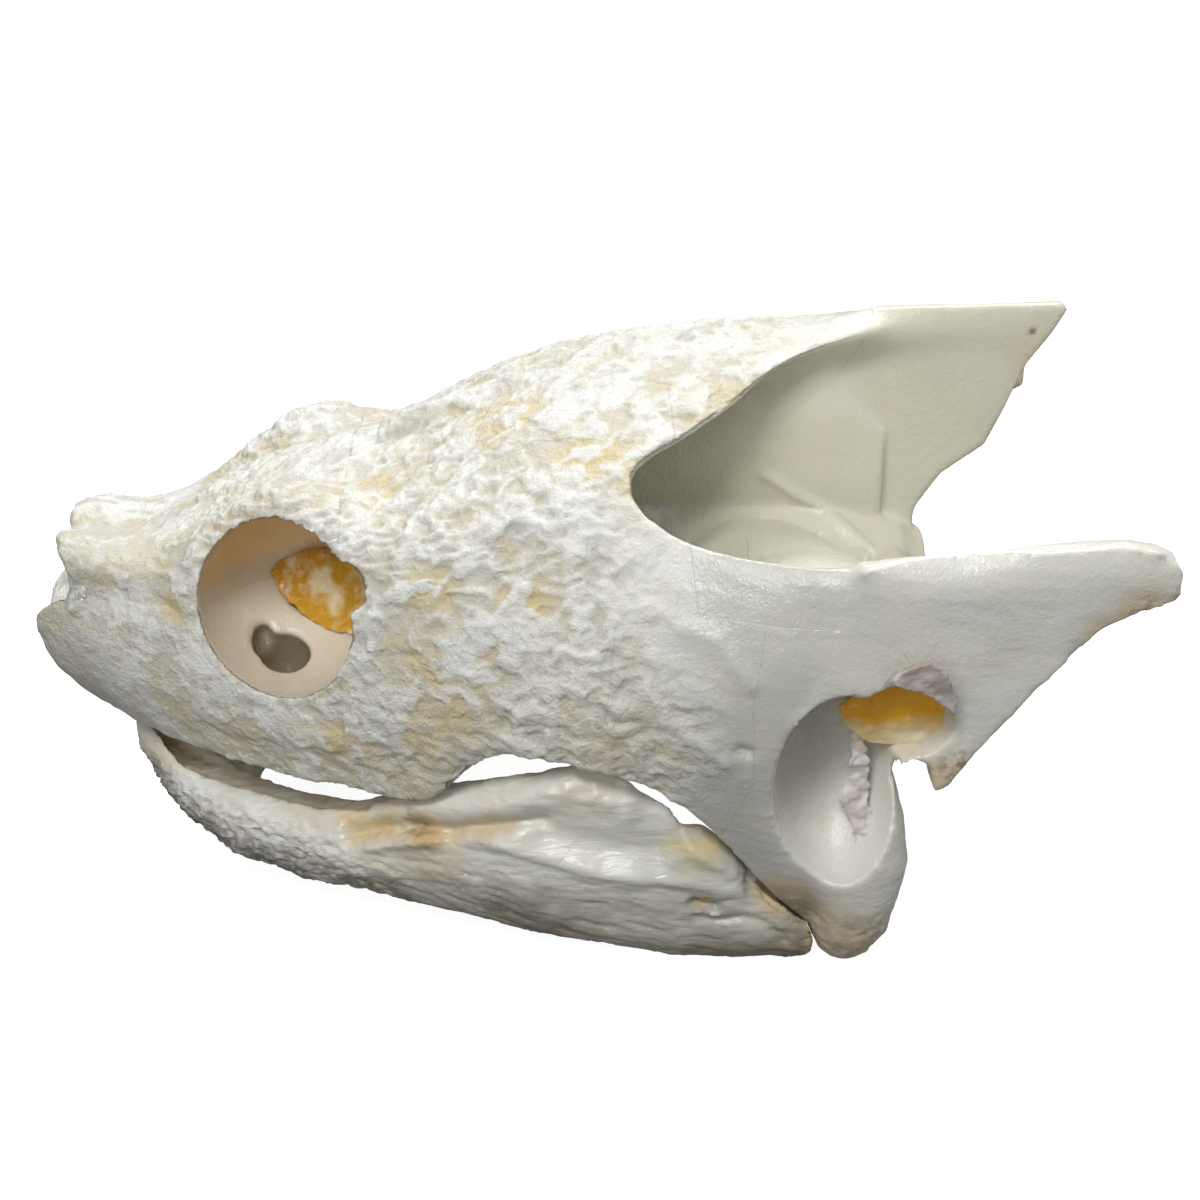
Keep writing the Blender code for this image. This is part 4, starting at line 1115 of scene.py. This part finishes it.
def bone_surface_group():
    """Colour, roughness and fine height of dry bone, from its marks and its place."""
    colour, value = "NodeSocketColor", "NodeSocketFloat"
    group, given, made = new_group(
        "bone_surface",
        [("Place", "NodeSocketVector"), *((name, colour) for name in MARKS), ("Pit Stain And Shade", value),
         ("Gloss", value)],
        [("Colour", colour), ("Roughness", value), ("Height", value)])
    g = Graph(group)
    given = given.outputs
    relief, stains, tones, parts = [
        g.add("ShaderNodeSeparateColor", {0: given[name]}).outputs for name in MARKS]
    pits, pitted, honey = relief
    stain_orange, stain_grey, stain_brown = stains
    cool, dark, tan = tones
    below, socket, ivory = parts
    broad = g.noise(given["Place"], 55, 3)
    middle = g.noise(given["Place"], 240, 5)
    fine = g.noise(given["Place"], 1100, 5, 0.6)
    specks = g.noise(given["Place"], 2600, 3, 0.6)
    rough_ground = g.noise(given["Place"], 620, 6, 0.72)

    # Bone by its region.
    tone = g.mix(g.band(broad, 0.38, 0.68), WHITE, WARM_WHITE)
    cream = g.mix(g.band(ivory, 0.76, 0.98), CREAM, DEEP_CREAM)
    tone = g.mix(g.times(ivory, 0.85), tone, cream)
    tone = g.mix(socket, tone, SOCKET)
    tone = g.mix(cool, tone, COOL)
    tone = g.mix(g.times(g.band(middle, 0.45, 0.7), 0.35), tone, VEIL)
    # Tan, which in the eye socket is the warmer painted shade of its roof.
    tan = g.times(g.times(tan, g.band(middle, 0.1, 0.5)), 0.8)
    tone = g.mix(tan, tone, g.mix(socket, TAN, SOCKET_ROOF_SHADE))
    # Painted shade where the bone faces down and along the lower edge of the jaw, made patchy.
    patchy = g.plus(0.55, g.times(g.band(middle, 0.3, 0.65), 0.45))
    tone = g.mix(g.times(below, patchy), tone, SHADE_BELOW)

    # Stain that has gathered in the pits, and painted shade in the hollows of the fine bump, which cast
    # no shade of their own.
    hollow = g.times(g.minus(1.0, g.band(rough_ground, 0.36, 0.56)), g.times(pitted, 0.45))
    pit = g.times(g.plus(pits, hollow), given["Pit Stain And Shade"])
    blotch = g.band(g.plus(middle, g.times(broad, 0.5)), 0.66, 0.92)
    tone = g.mix(g.band(pit, 0.2, 0.95), tone, g.mix(blotch, PIT, PIT_BLOTCH))
    deep = g.minus(g.plus(g.times(pits, 1.4), 0.35), g.times(pitted, 0.5))
    deep = g.band(g.plus(deep, g.times(middle, 0.8)), 0.5, 1.05)
    tone = g.mix(g.times(g.times(honey, deep), 0.75), tone, HONEY)

    # Stains on top.
    orange = g.times(stain_orange, g.band(middle, 0.15, 0.45))
    tone = g.mix(g.times(orange, 0.75), tone, ORANGE)
    tone = g.mix(g.times(stain_brown, g.band(fine, 0.42, 0.62)), tone, BROWN)
    tone = g.mix(g.times(stain_grey, g.band(g.plus(fine, pits), 0.4, 0.8)), tone, SOOT)
    # Painted shade in the passage behind the eye window, and the dark spots.
    tone = g.mix(dark, tone, DRAIN_SHADE)

    rough = g.plus(given["Gloss"], g.times(pits, 0.2))
    rough = g.math("ADD", rough, g.times(g.minus(fine, 0.5), 0.35), clamp=True)
    height = g.times(fine, g.plus(g.times(pitted, 0.8), 0.3))
    height = g.plus(height, g.times(g.times(rough_ground, pitted), 2.2))
    height = g.plus(height, g.times(specks, 0.25))
    g.feed(made, {"Colour": tone, "Roughness": rough, "Height": height})
    return group


def new_material(name):
    """Material with its graph and its shader."""
    material = bpy.data.materials.new(name)
    material.use_nodes = True
    return material, Graph(material.node_tree), material.node_tree.nodes["Principled BSDF"]


def bone_material(name, surface, pit_stain_and_shade, gloss, stretch=(1, 1, 1)):
    """Dry bone; stretch draws its pattern out along the bone, as in the fibres of the jaw."""
    material, g, shader = new_material(name)
    links = {"Place": g.place(stretch), "Pit Stain And Shade": pit_stain_and_shade, "Gloss": gloss}
    for mark in MARKS:
        links[mark] = g.add("ShaderNodeAttribute", attribute_name=mark.lower()).outputs["Color"]
    skin = g.add("ShaderNodeGroup", links, node_tree=surface).outputs
    g.feed(shader, {"Base Color": skin["Colour"], "Roughness": skin["Roughness"],
                    "Normal": g.bump(skin["Height"], 0.8, 0.4 * MM), "IOR": 1.5,
                    "Subsurface Weight": 0.1, "Subsurface Radius": (1.0, 0.7, 0.45),
                    "Subsurface Scale": 1 * MM})
    return material


def membrane_material(name, light, deep, top, rise, gloss, glow_through):
    """Dried membrane, streaked and blotched in two colours, with a third above the heights of rise."""
    material, g, shader = new_material(name)
    place = g.place()
    streak = g.noise(g.place((0.3, 1, 1)), 1500, 4)
    blotch = g.noise(place, 260, 1)
    tone = g.mix(g.band(g.plus(g.times(streak, 0.25), blotch), 0.56, 0.78), deep, light)
    height = g.add("ShaderNodeSeparateXYZ", {0: place}).outputs["Z"]
    height = g.plus(height, g.times(blotch, 4 * MM))
    tone = g.mix(g.band(height, rise[0] * MM, rise[1] * MM), tone, top)
    g.feed(shader, {"Base Color": tone, "Normal": g.bump(streak, 0.5, 0.2 * MM), "Roughness": gloss,
                    "Subsurface Weight": glow_through, "Subsurface Radius": (1.0, 0.6, 0.2),
                    "Subsurface Scale": 0.8 * MM})
    return material


def give_materials(bones):
    """Bone for the head, and the same drawn out to fibres for the jaw."""
    surface = bone_surface_group()
    head = bone_material("head_bone", surface, 0.95, 0.2)
    jaw = bone_material("jaw_bone", surface, 0.9, 0.24, (0.2, 1, 1))
    for name, bone in bones.items():
        bone.data.materials.append(jaw if name in named_points(JAW_MIDDLE, JAW_SIDE) else head)


def pale_floor():
    """Pale floor; it glows a little, so that shadows on it stay faint, and doesn't light the skull."""
    bm = bmesh.new()
    bmesh.ops.create_grid(bm, x_segments=1, y_segments=1, size=3000)
    floor = add_object("floor", bm)
    material, g, shader = new_material("pale_floor")
    g.feed(shader, {"Base Color": (0.35, 0.35, 0.35, 1), "Roughness": 0.9,
                    "Emission Color": (1, 1, 1, 1), "Emission Strength": 0.92})
    floor.data.materials.append(material)
    floor.visible_diffuse = False
    floor.visible_glossy = False
    floor.visible_shadow = False


def area_light(name, place, target, size, power):
    """Soft lamp; place and target in millimetres, size in metres."""
    light = bpy.data.lights.new(name, "AREA")
    light.shape = "DISK"
    light.size = size
    light.energy = power
    lamp = link_object(name, light)
    lamp.location = Vector(place) * MM
    lamp.rotation_euler = (Vector(target) - Vector(place)).to_track_quat("-Z", "Y").to_euler()


def studio():
    """Lamps and a faint white surround."""
    for name, settings in LAMPS.items():
        area_light(name, *settings)
    world = bpy.data.worlds.new("studio")
    world.use_nodes = True
    back = world.node_tree.nodes["Background"]
    back.inputs["Color"].default_value = (1, 1, 1, 1)
    back.inputs["Strength"].default_value = 0.2
    bpy.context.scene.world = world
    bpy.context.scene.view_settings.view_transform = "Standard"


def add_camera():
    """Camera at the photograph's angle: from the left, a little above, 240 mm away."""
    rise, turn, away = math.radians(24), math.radians(1), 240
    target = SHIFT + Vector((0, 0, 28.3))
    look = Vector((math.sin(turn) * math.cos(rise), math.cos(turn) * math.cos(rise), -math.sin(rise)))
    data = bpy.data.cameras.new("photo_camera")
    data.lens = 63.58
    data.sensor_width = 36
    data.clip_start = 0.01
    camera = link_object("photo_camera", data)
    camera.location = (target - look * away) * MM
    camera.rotation_euler = look.to_track_quat("-Z", "Y").to_euler()
    bpy.context.scene.camera = camera


def main():
    sheet = skin_sheet()
    head = cranium(sheet)
    jaw = lower_jaw(head)
    carve(head, floor_block())
    carve(jaw, floor_block())
    head_tree, head_marks = dress_surface(head, lambda p, n: relief_of_head(p, n, sheet))
    jaw_tree, jaw_marks = dress_surface(jaw, relief_of_jaw)
    bpy.data.objects.remove(sheet)
    bones = part_bones(cut_sutures(head, SUTURES), named_points(MIDDLE_BONES, SIDE_BONES), head_tree,
                       head_marks)
    bones.update(part_bones(cut_sutures(jaw, JAW_SUTURES), named_points(JAW_MIDDLE, JAW_SIDE), jaw_tree,
                            jaw_marks))
    give_materials(bones)
    dried_membranes()
    pale_floor()
    studio()
    add_camera()


main()
